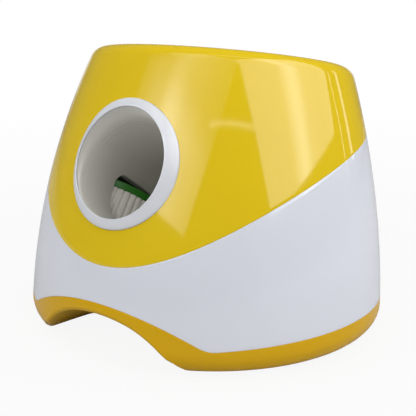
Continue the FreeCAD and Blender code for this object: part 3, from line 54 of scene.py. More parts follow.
# %% Sizes of the case
MM = 0.001
BASE_HALF_X, TAPER_X, SWELL_X = 140.0, 38.0, 10.8
BASE_HALF_Y, TAPER_Y, SWELL_Y = 131.5, 47.0, 5.1
LEAN, LEAN_SWELL = 17.5, 4.3
BODY_HEIGHT = 200.0
RIM_SLOPE = math.tan(math.radians(9.7))
RIM_RADIUS, RIM_WIDTH = 12.0, 16.0
FOOT_RADIUS, FOOT_GAP = 16.0, 1.5
WALL = 3.0
SEAM_RADIUS, SEAM_Y, SEAM_DROP = 266.0, 70.5, 120.8
PORT_HEIGHT, PORT_TILT, LAUNCH_TILT = 133.0, math.radians(24.0), math.radians(35.0)
PORT_RADIUS, BORE_RADIUS, TUBE_WALL = 45.2, 37.5, 2.5
TUBE_END = 126.0
EDGE = 0.35  # radius of the soft edge of a moulded shell
ROUNDS = 40  # rounds of each search for a point
SIDE = np.array([1.0, 0, 0])
print("wall:", WALL, "mm thick")

# %% Wall of the case


def blend(first, last, shares):
    """Values between two, at each share of the way."""
    return [first * (1 - share) + last * share for share in shares]


def bezier(start, corner, end, t):
    """Points of a bend that leaves start and reaches end, both aimed at the corner."""
    return (1 - t) ** 2 * start + 2 * t * (1 - t) * corner + t ** 2 * end


def turns(count):
    """Angles spread evenly round a piece."""
    return np.linspace(0, 2 * math.pi, count, endpoint=False)


STEPS = 288  # points round the case
TURN = turns(STEPS)


def profile(z):
    """Half width, half depth and centre of the case at height z."""
    t = z / BODY_HEIGHT
    swell = 4 * t * (1 - t)
    half_x = BASE_HALF_X - TAPER_X * t + SWELL_X * swell
    half_y = BASE_HALF_Y - TAPER_Y * t + SWELL_Y * swell
    return half_x, half_y, LEAN * t - LEAN_SWELL * swell


def wall_points(turn, z, inset=0.0):
    """Points of the wall; turn 0 is the front and a quarter turn is +X."""
    half_x, half_y, centre = profile(z)
    x, y = (half_x - inset) * np.sin(turn), centre - (half_y - inset) * np.cos(turn)
    return np.stack([x, y, z + 0 * turn], -1)


def unit(vectors):
    return vectors / np.linalg.norm(vectors, axis=-1, keepdims=True)


def wall_normals(turn, z, inset=0.0):
    """Outward normals of the wall, from its two tangents."""
    step = 0.01
    along = wall_points(turn + 1e-4, z, inset) - wall_points(turn - 1e-4, z, inset)
    upward = wall_points(turn, z + step, inset) - wall_points(turn, z - step, inset)
    return unit(np.cross(along, upward))


def settle(rule, start, inset):
    """Height where the wall meets a surface whose height is rule(x, y)."""
    z = np.full_like(TURN, start)
    for _ in range(ROUNDS):
        points = wall_points(TURN, z, inset)
        z = rule(points[..., 0], points[..., 1])
    return z


def halve(low, high, gap):
    """Where, point by point, a gap that grows from low to high is zero."""
    for _ in range(ROUNDS):
        middle = (low + high) / 2
        short = gap(middle) < 0
        low, high = np.where(short, middle, low), np.where(short, high, middle)
    return middle


print("the case is %.0f x %.0f mm at the floor" % (2 * profile(0.0)[0], 2 * profile(0.0)[1]))

# %% Seam and trim


def seam_rule(x, y):
    """Height of the seam between cover and shell: an arc seen from the side."""
    return -SEAM_DROP + np.sqrt(SEAM_RADIUS ** 2 - (y - SEAM_Y) ** 2)


TRIM_TOP, TRIM_RADIUS, TRIM_HALF = 41.6, 150.0, 74.0
TRIM_LOW, TRIM_LOW_X, TRIM_SIDE = 19.5, 84.0, 24.4


def trim_rule(x, y):
    """Height of the base trim: an arc over the arch, a bend and a gentle climb."""
    chord = math.sqrt(TRIM_RADIUS ** 2 - TRIM_HALF ** 2)
    arc_end, fall = TRIM_TOP - TRIM_RADIUS + chord, TRIM_HALF / chord
    climb = (TRIM_SIDE - TRIM_LOW) / (BASE_HALF_X - TRIM_LOW_X)
    corner = (arc_end + fall * TRIM_HALF - TRIM_LOW + climb * TRIM_LOW_X) / (fall + climb)
    reach = corner - TRIM_HALF
    corner_z = arc_end - fall * reach
    across = np.abs(x)
    arc = TRIM_TOP - TRIM_RADIUS + np.sqrt(TRIM_RADIUS ** 2 - np.minimum(across, TRIM_HALF) ** 2)
    t = np.clip((across - TRIM_HALF) / (2 * reach), 0, 1)
    bend = bezier(arc_end, corner_z, corner_z + climb * reach, t)
    line = corner_z + climb * (across - corner)
    return np.where(across < TRIM_HALF, arc, np.where(across < TRIM_HALF + 2 * reach, bend, line))


SEAM, SEAM_INSIDE = (settle(seam_rule, 130.0, inset) for inset in (0.0, WALL))
TRIM, TRIM_INSIDE = (settle(trim_rule, 30.0, inset) for inset in (0.0, WALL))
print("seam: %.0f to %.0f mm; trim: up to %.0f mm" % (SEAM.min(), SEAM.max(), TRIM.max()))

# %% [markdown]
# ## Small tools
# One function adds a node, one turns an sRGB hex value to a linear colour, and a few make
# meshes from rows of points.  A mesh that will be cut stores its smooth normals, so that
# the cut doesn't dent its reflections.

# %% Helpers for nodes and colours


def feed(item, inputs):
    """Fill a node's inputs with values, sockets, or nodes whose first output is meant."""
    for key, value in inputs.items():
        if isinstance(value, bpy.types.Node):
            value = value.outputs[0]
        if isinstance(value, bpy.types.NodeSocket):
            item.id_data.links.new(value, item.inputs[key])
        else:
            item.inputs[key].default_value = value
    return item


def add(tree, kind, inputs=None, **settings):
    """Add a node with its settings and inputs."""
    item = tree.nodes.new(kind)
    for name, value in settings.items():
        setattr(item, name, value)
    return feed(item, inputs or {})


def linear(code, share=1.0):
    """An sRGB hex colour as linear values, lightened or darkened by a share."""
    parts = [int(code[i:i + 2], 16) / 255 for i in (1, 3, 5)]
    parts = [c / 12.92 if c <= 0.04045 else ((c + 0.055) / 1.055) ** 2.4 for c in parts]
    return tuple(c * share for c in parts) + (1.0,)


print("mid grey is", [round(c, 3) for c in linear("#808080")])

# %% Helpers for meshes


def put(name, data):
    """A new object in the scene."""
    made = bpy.data.objects.new(name, data)
    bpy.context.scene.collection.objects.link(made)
    return made


def make_piece(name, points, faces):
    """A smooth piece from points in millimetres, its faces turned outwards."""
    mesh = bpy.data.meshes.new(name)
    mesh.from_pydata((np.array(points).reshape(-1, 3) * MM).tolist(), [], faces)
    mesh.shade_smooth()
    return face_out(put(name, mesh))


def rows_mesh(name, rows, close_rows=False, close_turn=True, cap=False):
    """A mesh of quads from rows of points in millimetres, each row running round the piece."""
    grid = np.asarray(rows, float)
    count, length = grid.shape[:2]
    faces = []
    for r in range(count if close_rows else count - 1):
        for c in range(length if close_turn else length - 1):
            r2, c2 = (r + 1) % count, (c + 1) % length
            faces.append((r * length + c, r * length + c2, r2 * length + c2, r2 * length + c))
    if cap:
        faces.append(tuple(range(length - 1, -1, -1)))
        faces.append(tuple((count - 1) * length + c for c in range(length)))
    return make_piece(name, grid, faces)


def block(name, low, high):
    """A box between two corners."""
    outline = (low[0], low[1]), (high[0], low[1]), (high[0], high[1]), (low[0], high[1])
    return rows_mesh(name, [[(x, y, z) for x, y in outline] for z in (low[2], high[2])], cap=True)


def face_out(piece):
    """Turn a mesh's faces outwards."""
    cage = bmesh.new()
    cage.from_mesh(piece.data)
    bmesh.ops.recalc_face_normals(cage, faces=cage.faces)
    cage.to_mesh(piece.data)
    cage.free()
    return piece


# %% Helpers for cuts
KEPT = "smooth_normal"  # attribute that holds the normals through a cut


def pull(items, name, width=1, kind=np.float32):
    """One attribute of many mesh items as an array."""
    values = np.zeros(len(items) * width, kind)
    items.foreach_get(name, values)
    return values.reshape(-1, width) if width > 1 else values


def keep_normals(piece):
    """Store the smooth normals on the corners, for use after a cut."""
    mesh = piece.data
    normals = pull(mesh.vertex_normals, "vector", 3)[pull(mesh.loops, "vertex_index", kind=np.int32)]
    layer = mesh.attributes.new(KEPT, "FLOAT_VECTOR", "CORNER")
    layer.data.foreach_set("vector", normals.ravel())
    return piece


def show_normals(piece):
    """Use the stored normals, turned over where a cut shows a face from behind."""
    mesh = piece.data
    stored = pull(mesh.attributes[KEPT].data, "vector", 3)
    totals = pull(mesh.polygons, "loop_total", kind=np.int32)
    flat = np.repeat(pull(mesh.polygons, "normal", 3), totals, axis=0)
    length = np.linalg.norm(stored, axis=1, keepdims=True)
    agree = np.sum(stored * flat, axis=1, keepdims=True)
    stored = np.where(agree < 0, -stored, stored)
    stored = np.where((length < 0.5) | (np.abs(agree) < 0.3), flat, stored)
    mesh.attributes.remove(mesh.attributes[KEPT])
    mesh.shade_smooth()
    mesh.normals_split_custom_set(unit(stored).tolist())


def apply_modifiers(piece):
    """Turn a piece with modifiers into a plain mesh."""
    made = bpy.data.meshes.new_from_object(piece.evaluated_get(bpy.context.evaluated_depsgraph_get()))
    piece.modifiers.clear()
    piece.data = made


def carve(piece, cutter, operation="DIFFERENCE"):
    """Cut a piece with another closed mesh, which is then thrown away."""
    cut = piece.modifiers.new("cut", "BOOLEAN")
    cut.operation, cut.object, cut.solver = operation, cutter, "EXACT"
    apply_modifiers(piece)
    bpy.data.objects.remove(cutter)


def dress(piece, finish, body="casing"):
    """Give a finished piece its material and let it ride on its body."""
    mesh = piece.data
    mesh.materials.clear()
    mesh.materials.append(finish)
    mesh.polygons.foreach_set("material_index", [0] * len(mesh.polygons))
    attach(piece, body)
    print(piece.name + ":", len(mesh.polygons), "faces")


print("normals are kept in", KEPT)

# %% Helpers for shapes


def rods(name, axis, spots):
    """Closed cylinders along an axis in one mesh; a spot is (centre, radius, low, high)."""
    side, up, along = np.eye(3)[{"Y": [0, 2, 1], "Z": [0, 1, 2]}[axis]]
    steps = 64
    turn = turns(steps)[:, None]
    points, faces = [], []
    for centre, radius, low, high in spots:
        ring = np.array(centre, float) + radius * (np.cos(turn) * side + np.sin(turn) * up)
        first = len(points)
        points += [*(ring + along * low), *(ring + along * high)]
        lower, upper = range(first, first + steps), range(first + steps, first + 2 * steps)
        faces += [(lower[i - 1], lower[i], upper[i], upper[i - 1]) for i in range(1, steps)]
        faces += [(lower[-1], lower[0], upper[0], upper[-1]), tuple(lower[::-1]), tuple(upper)]
    return make_piece(name, points, faces)


def soften(outline, radius, steps=4):
    """Round the corners of a closed outline of (radius, height) points."""
    points = [np.array(p, float) for p in outline]
    soft = []
    for before, corner, after in zip(points[-1:] + points, points, points[1:] + points[:1]):
        start, end = (corner + unit(way) * min(radius, 0.45 * np.linalg.norm(way))
                      for way in (before - corner, after - corner))
        soft += [bezier(start, corner, end, t) for t in np.linspace(0, 1, steps)]
    return soft


def round_rows(turn, outline):
    """Rows about Z from an outline of (radius, height) points."""
    return [np.stack([r * np.cos(turn), r * np.sin(turn), z + 0 * turn], -1) for r, z in outline]


def turned(name, outline, steps=96):
    """A piece turned about Z from a closed outline."""
    return rows_mesh(name, round_rows(turns(steps), outline), close_rows=True)


def round_rectangle(half, low, high, corner):
    """Points (across, up) of a rectangle with round corners."""
    outline = []
    for side, level, start in ((1, high - corner, 0), (-1, high - corner, 90),
                               (-1, low + corner, 180), (1, low + corner, 270)):
        outline += [(side * (half - corner) + corner * math.cos(a), level + corner * math.sin(a))
                    for a in np.radians(np.linspace(start, start + 90, 9))]
    return np.array(outline)


def rounded_plate(name, half, low, high, corner, y_low, y_high):
    """A plate with round corners, seen from behind, as a closed bar along Y."""
    outline = round_rectangle(half, low, high, corner)
    return rows_mesh(name, [[(x, y, z) for x, z in outline] for y in (y_high, y_low)], cap=True)


print("a plate's outline has", len(round_rectangle(2.0, 0.0, 2.0, 0.5)), "points")

# %% Rows of a wall


def wall_rows(low, high, inset, count):
    """Rows up the wall between two heights that change round the case."""
    return [wall_points(TURN, low + (high - low) * share, inset) for share in np.linspace(0, 1, count)]


def soft_start(level):
    """Rows that round the edge where a wall starts, at its lower end."""
    return [wall_points(TURN, level + EDGE * (1 - math.cos(a)), EDGE * (1 - math.sin(a)))
            for a in np.radians([0, 30, 60])]


def soft_end(level):
    """Rows that round the edge where a wall ends, at its upper end."""
    return [wall_points(TURN, level - EDGE * (1 - math.sin(a)), EDGE * (1 - math.cos(a)))
            for a in np.radians([30, 60, 90])]


print("points in a row:", len(soft_end(SEAM)[0]))

# %% [markdown]
# Ribs, screws and pads repeat.  A small geometry-node tree repeats one modelled piece, with
# its count and spacing as named inputs.  The result is turned into a plain mesh.

# %% Helpers for repeats


def start_tree(name, numbers):
    """A tree that takes the piece to repeat, named numbers and a finish."""
    tree = bpy.data.node_groups.new(name, "GeometryNodeTree")
    tree.interface.new_socket("Geometry", in_out="INPUT", socket_type="NodeSocketGeometry")
    for label, kind in numbers.items():
        tree.interface.new_socket(label, in_out="INPUT", socket_type=kind)
    tree.interface.new_socket("Finish", in_out="INPUT", socket_type="NodeSocketMaterial")
    tree.interface.new_socket("Geometry", in_out="OUTPUT", socket_type="NodeSocketGeometry")
    return tree, add(tree, "NodeGroupInput").outputs


def end_tree(tree, given, points, rotation=None, weld=0.0):
    """Set a copy on each point, make them real, weld them if asked, and give them their finish."""
    spots = {"Points": points, "Instance": given["Geometry"]}
    if rotation:
        spots["Rotation"] = rotation
    made = add(tree, "GeometryNodeInstanceOnPoints", spots)
    made = add(tree, "GeometryNodeRealizeInstances", {"Geometry": made})
    if weld:
        made = add(tree, "GeometryNodeMergeByDistance", {"Geometry": made, "Distance": weld})
    made = add(tree, "GeometryNodeSetMaterial", {"Geometry": made, "Material": given["Finish"]})
    add(tree, "NodeGroupOutput", {"Geometry": made})
    return tree


def run_tree(piece, tree, values):
    """Run a tree on a piece with values for its named inputs."""
    step = piece.modifiers.new("repeat", "NODES")
    step.node_group = tree
    for item in tree.interface.items_tree:
        if item.in_out == "INPUT" and item.name in values:
            step[item.identifier] = values[item.name]
    apply_modifiers(piece)


def grid_tree():
    """Repeat a piece at the four corners of a rectangle."""
    tree, given = start_tree("four_corners", {"Width": "NodeSocketFloat", "Depth": "NodeSocketFloat"})
    corners = add(tree, "GeometryNodeMeshGrid", {
        "Size X": given["Width"], "Size Y": given["Depth"], "Vertices X": 2, "Vertices Y": 2})
    return end_tree(tree, given, corners)


def round_tree():
    """Repeat a sector round the Z axis and weld the sectors together."""
    tree, given = start_tree("round_repeat", {"Count": "NodeSocketInt"})
    stack = add(tree, "GeometryNodePoints", {"Count": given["Count"]})
    step = add(tree, "ShaderNodeMath", {0: 2 * math.pi, 1: given["Count"]}, operation="DIVIDE")
    index = add(tree, "GeometryNodeInputIndex")
    angle = add(tree, "ShaderNodeMath", {0: index, 1: step}, operation="MULTIPLY")
    return end_tree(tree, given, stack, add(tree, "ShaderNodeCombineXYZ", {"Z": angle}), 0.005 * MM)


FOUR_CORNERS, ROUND_REPEAT = grid_tree(), round_tree()
print("trees:", FOUR_CORNERS.name, ROUND_REPEAT.name)

# %% [markdown]
# ## Finishes
# Most of the machine is injection-moulded ABS: even in shade, and glossy with a very faint
# ripple from the polished mould.  Principled BSDF with a noise bump gives that; a flat
# colour would look like a drawing.

# %% Moulded plastics
RIPPLE, RIPPLE_PITCH, RELIEF = 0.02, 3.0 * MM, 0.1 * MM


def new_finish(name):
    """A new material, with its node tree and its shader."""
    finish = bpy.data.materials.new(name)
    finish.use_nodes = True
    return finish, finish.node_tree, finish.node_tree.nodes["Principled BSDF"]


def moulded(name, code, roughness, grain_mm=0.0, grain=0.0, shade=0.03, specular=0.5):
    """Plastic from a mould: colour, gloss, a faint ripple and sometimes a grain."""
    finish, tree, shader = new_finish(name)
    place = add(tree, "ShaderNodeTexCoord").outputs["Object"]
    cloud = add(tree, "ShaderNodeTexNoise", {"Vector": place, "Scale": 1 / (40 * MM), "Detail": 2.0})
    tint = add(tree, "ShaderNodeMix", {
        "Factor": cloud, "A": linear(code, 1 - shade), "B": linear(code, 1 + shade)}, data_type="RGBA")
    gloss = add(tree, "ShaderNodeMapRange", {
        "Value": cloud, "To Min": roughness * 0.85, "To Max": roughness * 1.15})
    wave = add(tree, "ShaderNodeTexNoise", {"Vector": place, "Scale": 1 / RIPPLE_PITCH, "Detail": 1.0})
    bump = add(tree, "ShaderNodeBump", {"Height": wave, "Strength": RIPPLE, "Distance": RELIEF})
    if grain:
        pits = add(tree, "ShaderNodeTexNoise", {
            "Vector": place, "Scale": 1 / (grain_mm * MM), "Detail": 3.0})
        bump = add(tree, "ShaderNodeBump", {
            "Height": pits, "Strength": grain, "Distance": RELIEF, "Normal": bump})
    feed(shader, {"Base Color": tint.outputs[2], "Roughness": gloss, "Normal": bump, "IOR": 1.46,
                  "Specular IOR Level": specular})
    return finish


yellow_abs = moulded("yellow_gloss_abs", "#D8B913", 0.07)
white_abs = moulded("white_gloss_abs", "#D2D5DD", 0.09)
amber_abs = moulded("amber_gloss_abs", "#CC9F07", 0.2, specular=0.22)
ring_abs = moulded("white_satin_abs", "#D1D4DA", 0.26)
tube_abs = moulded("pale_grey_abs", "#D0CDC6", 0.42, specular=0.25)
frame_nylon = moulded("grey_nylon", "#83827E", 0.45, grain_mm=0.6, grain=0.15)
green_pp = moulded("green_polypropylene", "#2A7C19", 0.35, grain_mm=0.8, grain=0.05)
black_abs = moulded("black_abs", "#1C1C1E", 0.40, grain_mm=0.6, grain=0.1)
panel_abs = moulded("slate_abs", "#565A61", 0.42, grain_mm=0.5, grain=0.2)
acetal = moulded("white_acetal", "#E8E6DD", 0.35)
lens_acrylic = moulded("green_acrylic", "#57C96B", 0.08)
cell_wrap = moulded("blue_shrink_wrap", "#33458C", 0.28)
red_pvc = moulded("red_pvc", "#9C2114", 0.40)
black_pvc = moulded("black_pvc", "#191919", 0.40)
print("plastics:", len(bpy.data.materials))

# %% [markdown]
# Rubber is duller than ABS and shows a fine pitted grain: pale on the tyres, black on the
# pads under the feet.

# %% Rubbers
tyre_rubber = moulded("pale_tyre_rubber", "#F0EDE6", 0.62, grain_mm=0.5, grain=0.25, shade=0.08)
pad_rubber = moulded("black_pad_rubber", "#2A2A2A", 0.75, grain_mm=0.7, grain=0.3, shade=0.1)
print("rubbers:", tyre_rubber.name, pad_rubber.name)

# %% [markdown]
# Shafts and screws are bright steel, and the motor cans are zinc-plated.  A metal has a
# metallic value of 1 and fine streaks in its roughness.

# %% Metals
STREAK_PITCH = 0.4 * MM


def metal(name, code, roughness):
    """Bare or plated metal with fine turned streaks."""
    finish, tree, shader = new_finish(name)
    place = add(tree, "ShaderNodeTexCoord").outputs["Object"]
    streak = add(tree, "ShaderNodeTexNoise", {"Vector": place, "Scale": 1 / STREAK_PITCH, "Detail": 4.0})
    spread = add(tree, "ShaderNodeMapRange", {
        "Value": streak, "To Min": roughness * 0.7, "To Max": roughness * 1.3})
    tint = add(tree, "ShaderNodeMix", {
        "Factor": streak, "A": linear(code, 0.85), "B": linear(code)}, data_type="RGBA")
    feed(shader, {"Base Color": tint.outputs[2], "Roughness": spread, "Metallic": 1.0})
    return finish


steel = metal("bright_steel", "#C9C9C7", 0.25)
zinc = metal("zinc_plated_can", "#B9BAB8", 0.35)
brass = metal("plated_brass", "#C6A253", 0.3)
print("metals:", steel.name, zinc.name, brass.name)

# %% [markdown]
# The control board is glass-reinforced epoxy under green solder mask.  A brick pattern with
# thin lines stands in for its faint copper tracks.

# %% Circuit board
board_mask = moulded("green_solder_mask", "#1E6A38", 0.3)
tree = board_mask.node_tree
place = add(tree, "ShaderNodeTexCoord").outputs["Object"]
flat = add(tree, "ShaderNodeMapping", {"Vector": place, "Rotation": (math.radians(90), 0, 0)})
tracks = add(tree, "ShaderNodeTexBrick", {
    "Vector": flat, "Scale": 1 / (12 * MM), "Color1": linear("#1E6A38"),
    "Color2": linear("#226F3D"), "Mortar": linear("#3E8C4F"), "Mortar Size": 0.03})
feed(tree.nodes["Principled BSDF"], {"Base Color": tracks})
print("board:", board_mask.name)

# %% [markdown]
# ## Camera, lamps and floor
# The camera stands in front, to the right, and looks a little down.  Two large softboxes,
# one each side of it, make the two broad bright bands on the cover.

# %% Camera
FOCAL, FRAME_WIDTH = 791.5, 416  # in pixels
CAMERA_PLACE, CAMERA_PAN, CAMERA_TILT = (0.3519, -0.4862, 0.2365), 0.621, 0.253
camera = put("camera", bpy.data.cameras.new("camera"))
camera.location = CAMERA_PLACE
camera.rotation_euler = (math.pi / 2 - CAMERA_TILT, 0, CAMERA_PAN)
camera.data.sensor_width = 36.0
camera.data.lens = FOCAL / FRAME_WIDTH * camera.data.sensor_width
camera.data.clip_start = 0.01
bpy.context.scene.camera = camera
print("lens: %.1f mm" % camera.data.lens)

# %% [markdown]
# A lamp gives either the gloss or the colour, so that the bands can be set without changing
# how light the plastic looks.  A softbox is brightest where its bulb sits behind the cloth,
# so the large ones fade over their width and height.

# %% Softboxes


def softbox(name, bearing, rise, size, radiance, seen_in, roll=0.0, cloth=None, distance=1.6):
    """An area light at a bearing (0 is the front, 90 is +X) and a rise, facing the case."""
    width, height = size
    data = bpy.data.lights.new(name, "AREA")
    data.shape, data.size, data.size_y = "RECTANGLE", width, height
    data.energy = radiance * math.pi * width * height
    lamp = put(name, data)
    turn, lift = math.radians(bearing), math.radians(rise)
    spot = Vector((math.sin(turn) * math.cos(lift), -math.cos(turn) * math.cos(lift), math.sin(lift)))
    lamp.location = Vector((0, 0, 0.11)) + spot * distance
    lamp.rotation_mode = "QUATERNION"
    lamp.rotation_quaternion = (spot.to_track_quat("Z", "Y")
                                @ Matrix.Rotation(math.radians(roll), 3, "Z").to_quaternion())
    lamp.visible_camera = False
    lamp.visible_glossy = seen_in == "gloss"
    lamp.visible_diffuse = seen_in == "colour"
    if cloth:
        grade(data, cloth)


def grade(data, cloth):
    """Share out a lamp's light over its width and height, by stops of (place, share)."""
    data.use_nodes = True
    tree = data.node_tree
    place = add(tree, "ShaderNodeNewGeometry").outputs["Parametric"]
    where = add(tree, "ShaderNodeSeparateXYZ", {"Vector": place})
    ramps = []
    for side, stops in zip("XY", cloth):
        ramp = add(tree, "ShaderNodeValToRGB", {"Fac": where.outputs[side]})
        ramp.color_ramp.interpolation = "EASE"
        while len(ramp.color_ramp.elements) < len(stops):
            ramp.color_ramp.elements.new(0.5)
        for element, (position, share) in zip(ramp.color_ramp.elements, stops):
            element.position, element.color = position, (share, share, share, 1)
        ramps.append(ramp)
    both = add(tree, "ShaderNodeMath", {0: ramps[0], 1: ramps[1]}, operation="MULTIPLY")
    feed(tree.nodes["Emission"], {"Strength": both})


LEFT_CLOTH = ((0.0, 0.0), (0.1, 0.12), (0.3, 0.36), (0.48, 1.0), (0.68, 0.6), (0.86, 0.38), (0.97, 0.26))
RIGHT_CLOTH = ((0.0, 0.44), (0.3, 0.46), (0.46, 1.0), (0.6, 0.53), (0.8, 0.44), (1.0, 0.42))
LEFT_FADE = ((0.0, 1.0), (0.3, 1.0), (0.55, 0.35))
RIGHT_FADE = ((0.0, 1.0), (0.7, 1.0), (1.0, 0.75))
softbox("softbox_left", -14, 43, (1.66, 1.5), 7.4, "gloss", -8, (LEFT_CLOTH, LEFT_FADE))
softbox("softbox_right", 90, 45, (2.05, 1.7), 7.1, "gloss", 4, (RIGHT_CLOTH, RIGHT_FADE))
softbox("strip_front", 32, 37, (0.8, 0.03), 3.0, "gloss", -4)
softbox("strip_top", 36, 79, (2.4, 0.10), 3.0, "gloss")
softbox("strip_side", 131, 16, (0.03, 0.6), 3.4, "gloss")
softbox("strip_back", 142, 16, (0.09, 0.6), 3.0, "gloss")
softbox("fill_front", -32, 32, (1.5, 1.3), 1.25, "colour")
softbox("fill_right", 98, 32, (2.1, 1.5), 1.6, "colour")
softbox("fill_top", 30, 82, (1.2, 1.2), 1.0, "colour", distance=1.4)

# %% [markdown]
# The world is white to the camera and grey to the colours.  Mirrored in gloss it is darker,
# apart from a bright backdrop low behind the case with a dark card in its middle.  The
# floor is white too, a touch greyer near the case.

# %% World
AMBIENT, MIRRORED_AMBIENT = 0.60, 0.16
BACKDROP = (-0.582, 0.813, 0.0)  # from the case towards the backdrop
BACKDROP_EDGE, BACKDROP_FULL, CARD_EDGE, CARD_FULL = np.cos(np.radians([30, 14, 8, 4]))
BACKDROP_TOP, BACKDROP_GONE = 0.05, 0.17
world = bpy.data.worlds.new("studio")
bpy.context.scene.world = world
world.use_nodes = True
tree = world.node_tree
way = add(tree, "ShaderNodeTexCoord").outputs["Generated"]
aim = add(tree, "ShaderNodeVectorMath", {0: way, 1: BACKDROP}, operation="DOT_PRODUCT").outputs["Value"]
height = add(tree, "ShaderNodeSeparateXYZ", {"Vector": way}).outputs["Z"]
ray = add(tree, "ShaderNodeLightPath").outputs
mirrored = ray["Is Glossy Ray"]
fades = ((aim, BACKDROP_EDGE, BACKDROP_FULL, 0.0, 1.0), (height, BACKDROP_TOP, BACKDROP_GONE, 1.0, 0.0),
         (aim, CARD_EDGE, CARD_FULL, 1.0, 0.0))
for value, start, end, first, last in fades:
    fade = add(tree, "ShaderNodeMapRange", {
        "Value": value, "From Min": start, "From Max": end, "To Min": first, "To Max": last},
        interpolation_type="SMOOTHSTEP")
    mirrored = add(tree, "ShaderNodeMath", {0: mirrored, 1: fade}, operation="MULTIPLY")
shown = ray["Is Camera Ray"]
for other in (ray["Is Transmission Ray"], mirrored):
    shown = add(tree, "ShaderNodeMath", {0: shown, 1: other}, operation="MAXIMUM")
room = add(tree, "ShaderNodeMapRange", {
    "Value": ray["Is Glossy Ray"], "To Min": AMBIENT, "To Max": MIRRORED_AMBIENT})
level = add(tree, "ShaderNodeMapRange", {"Value": shown, "To Min": room, "To Max": 1.0})
feed(tree.nodes["Background"], {"Color": (1, 1, 1, 1), "Strength": level})
print("world:", world.name)

# %% Floor
NEAR, FAR, NEAR_LEVEL, FLOOR_HALF = 0.25, 1.2, 0.91, 4000
floor_finish, tree, shader = new_finish("pale_floor")
feed(shader, {"Base Color": (0.5, 0.5, 0.5, 1), "Roughness": 0.9})
glow = add(tree, "ShaderNodeEmission", {"Color": (1, 1, 1, 1), "Strength": 1.0})
ray = add(tree, "ShaderNodeLightPath").outputs
shown = add(tree, "ShaderNodeMath", {
    0: ray["Is Camera Ray"], 1: ray["Is Transmission Ray"]}, operation="MAXIMUM")
place = add(tree, "ShaderNodeNewGeometry").outputs["Position"]
away = add(tree, "ShaderNodeVectorMath", {0: place}, operation="LENGTH").outputs["Value"]
whiter = add(tree, "ShaderNodeMapRange", {
    "Value": away, "From Min": NEAR, "From Max": FAR, "To Min": NEAR_LEVEL, "To Max": 1.0})
share = add(tree, "ShaderNodeMath", {0: shown, 1: whiter}, operation="MULTIPLY")
mixed = add(tree, "ShaderNodeMixShader", {0: share, 1: shader, 2: glow})
feed(tree.nodes["Material Output"], {"Surface": mixed})
ends = (-FLOOR_HALF, FLOOR_HALF)
floor = rows_mesh("floor", [[(x, y, 0) for x in ends] for y in ends], close_turn=False)
floor.data.materials.append(floor_finish)
bpy.context.scene.view_settings.view_transform = "Standard"
print("floor and world are white to the camera")

# %% [markdown]
# ## Plain parts
# Parts inside keep their CAD mesh, and get the finish of what they are made of.

# %% Finishes of the CAD parts
FINISH = {
    yellow_abs: ["upper_cover", "hopper_bowl"],
    white_abs: ["lower_shell"],
    amber_abs: ["base_tray", "range_button"],
    ring_abs: ["port_ring"],
    tube_abs: ["launch_tube"],
    frame_nylon: ["breech_cap", "left_motor_bracket", "right_motor_bracket", "feed_chute", "tube_cradle"],
    green_pp: ["left_wheel_hub", "right_wheel_hub", "gate_finger", "power_button"],
    tyre_rubber: ["left_wheel_tyre", "right_wheel_tyre"],
    pad_rubber: ["foot_pads"],
    steel: ["cap_screws", "left_wheel_shaft", "right_wheel_shaft", "motor_screws", "gate_shaft", "gate_clip",
            "gate_motor_screws", "board_screws", "casing_screws"],
    zinc: ["left_launch_motor", "right_launch_motor", "gate_motor"],
    black_abs: ["ball_sensors", "tact_switches", "power_inlet"],
    panel_abs: ["rear_panel"],
    acetal: ["gate_gear", "gate_pinion"],
    board_mask: ["control_board"],
    lens_acrylic: ["indicator_lenses"],
    cell_wrap: ["battery_cells"],
    brass: ["cell_contacts"],
    red_pvc: ["red_motor_leads"],
    black_pvc: ["black_motor_leads"],
}
for finish, names in FINISH.items():
    for name in names:
        node = nodes[name]
        if not node.material_slots:
            node.data.materials.append(finish)
        for slot in node.material_slots:
            slot.material = finish
print("dressed", sum(len(names) for names in FINISH.values()), "of", len(nodes))

# %% [markdown]
# ## The upper cover
# One yellow moulding: a leaning wall, a round at the rim, a flat ring round the bowl, and
# a hole for the port.  A subdivision cage could be pulled to this shape by eye, but rows of
# points worked out from the ellipses follow the CAD exactly.  They run up the outside and
# back down the inside, 3 mm apart, so the mesh is closed.

# %% Rows of the cover
rim_normal = unit(np.array([0.0, RIM_SLOPE, 1.0]))


def rim_height(y, drop=0.0):
    return BODY_HEIGHT - drop - RIM_SLOPE * y


def rim_centres(inset):
    """Centres of the rim's round, its radius away from the wall and from the rim's plane."""
    radius = RIM_RADIUS - inset

    def centre(z):
        return wall_points(TURN, z, inset) - radius * wall_normals(TURN, z, inset)

    def gap(z):
        place = centre(z)
        return (place[..., 2] - rim_height(place[..., 1], inset)) * rim_normal[2] + radius

    z = halve(np.full(STEPS, 150.0), np.full(STEPS, 230.0), gap)
    return centre(z), wall_normals(TURN, z, inset), z


def rim_reach(side):
    """Where the rim's plane meets the front (-1) or back (1) profile."""
    y = side * 84.5
    for _ in range(20):
        half_x, half_y, centre = profile(rim_height(y))
        y = centre + side * half_y
    return y


OPEN_Y = (rim_reach(-1) + rim_reach(1)) / 2
OPEN_HALF_Y = (rim_reach(1) - rim_reach(-1)) / 2 - RIM_WIDTH
OPEN_HALF_X = profile(rim_height(OPEN_Y))[0] - RIM_WIDTH


def opening(grow, drop):
    """The bowl's opening in the rim, grown sideways and lowered."""
    x = (OPEN_HALF_X + grow) * np.sin(TURN)
    y = OPEN_Y - (OPEN_HALF_Y + grow) * np.cos(TURN)
    return np.stack([x, y, rim_height(y, drop)], -1)


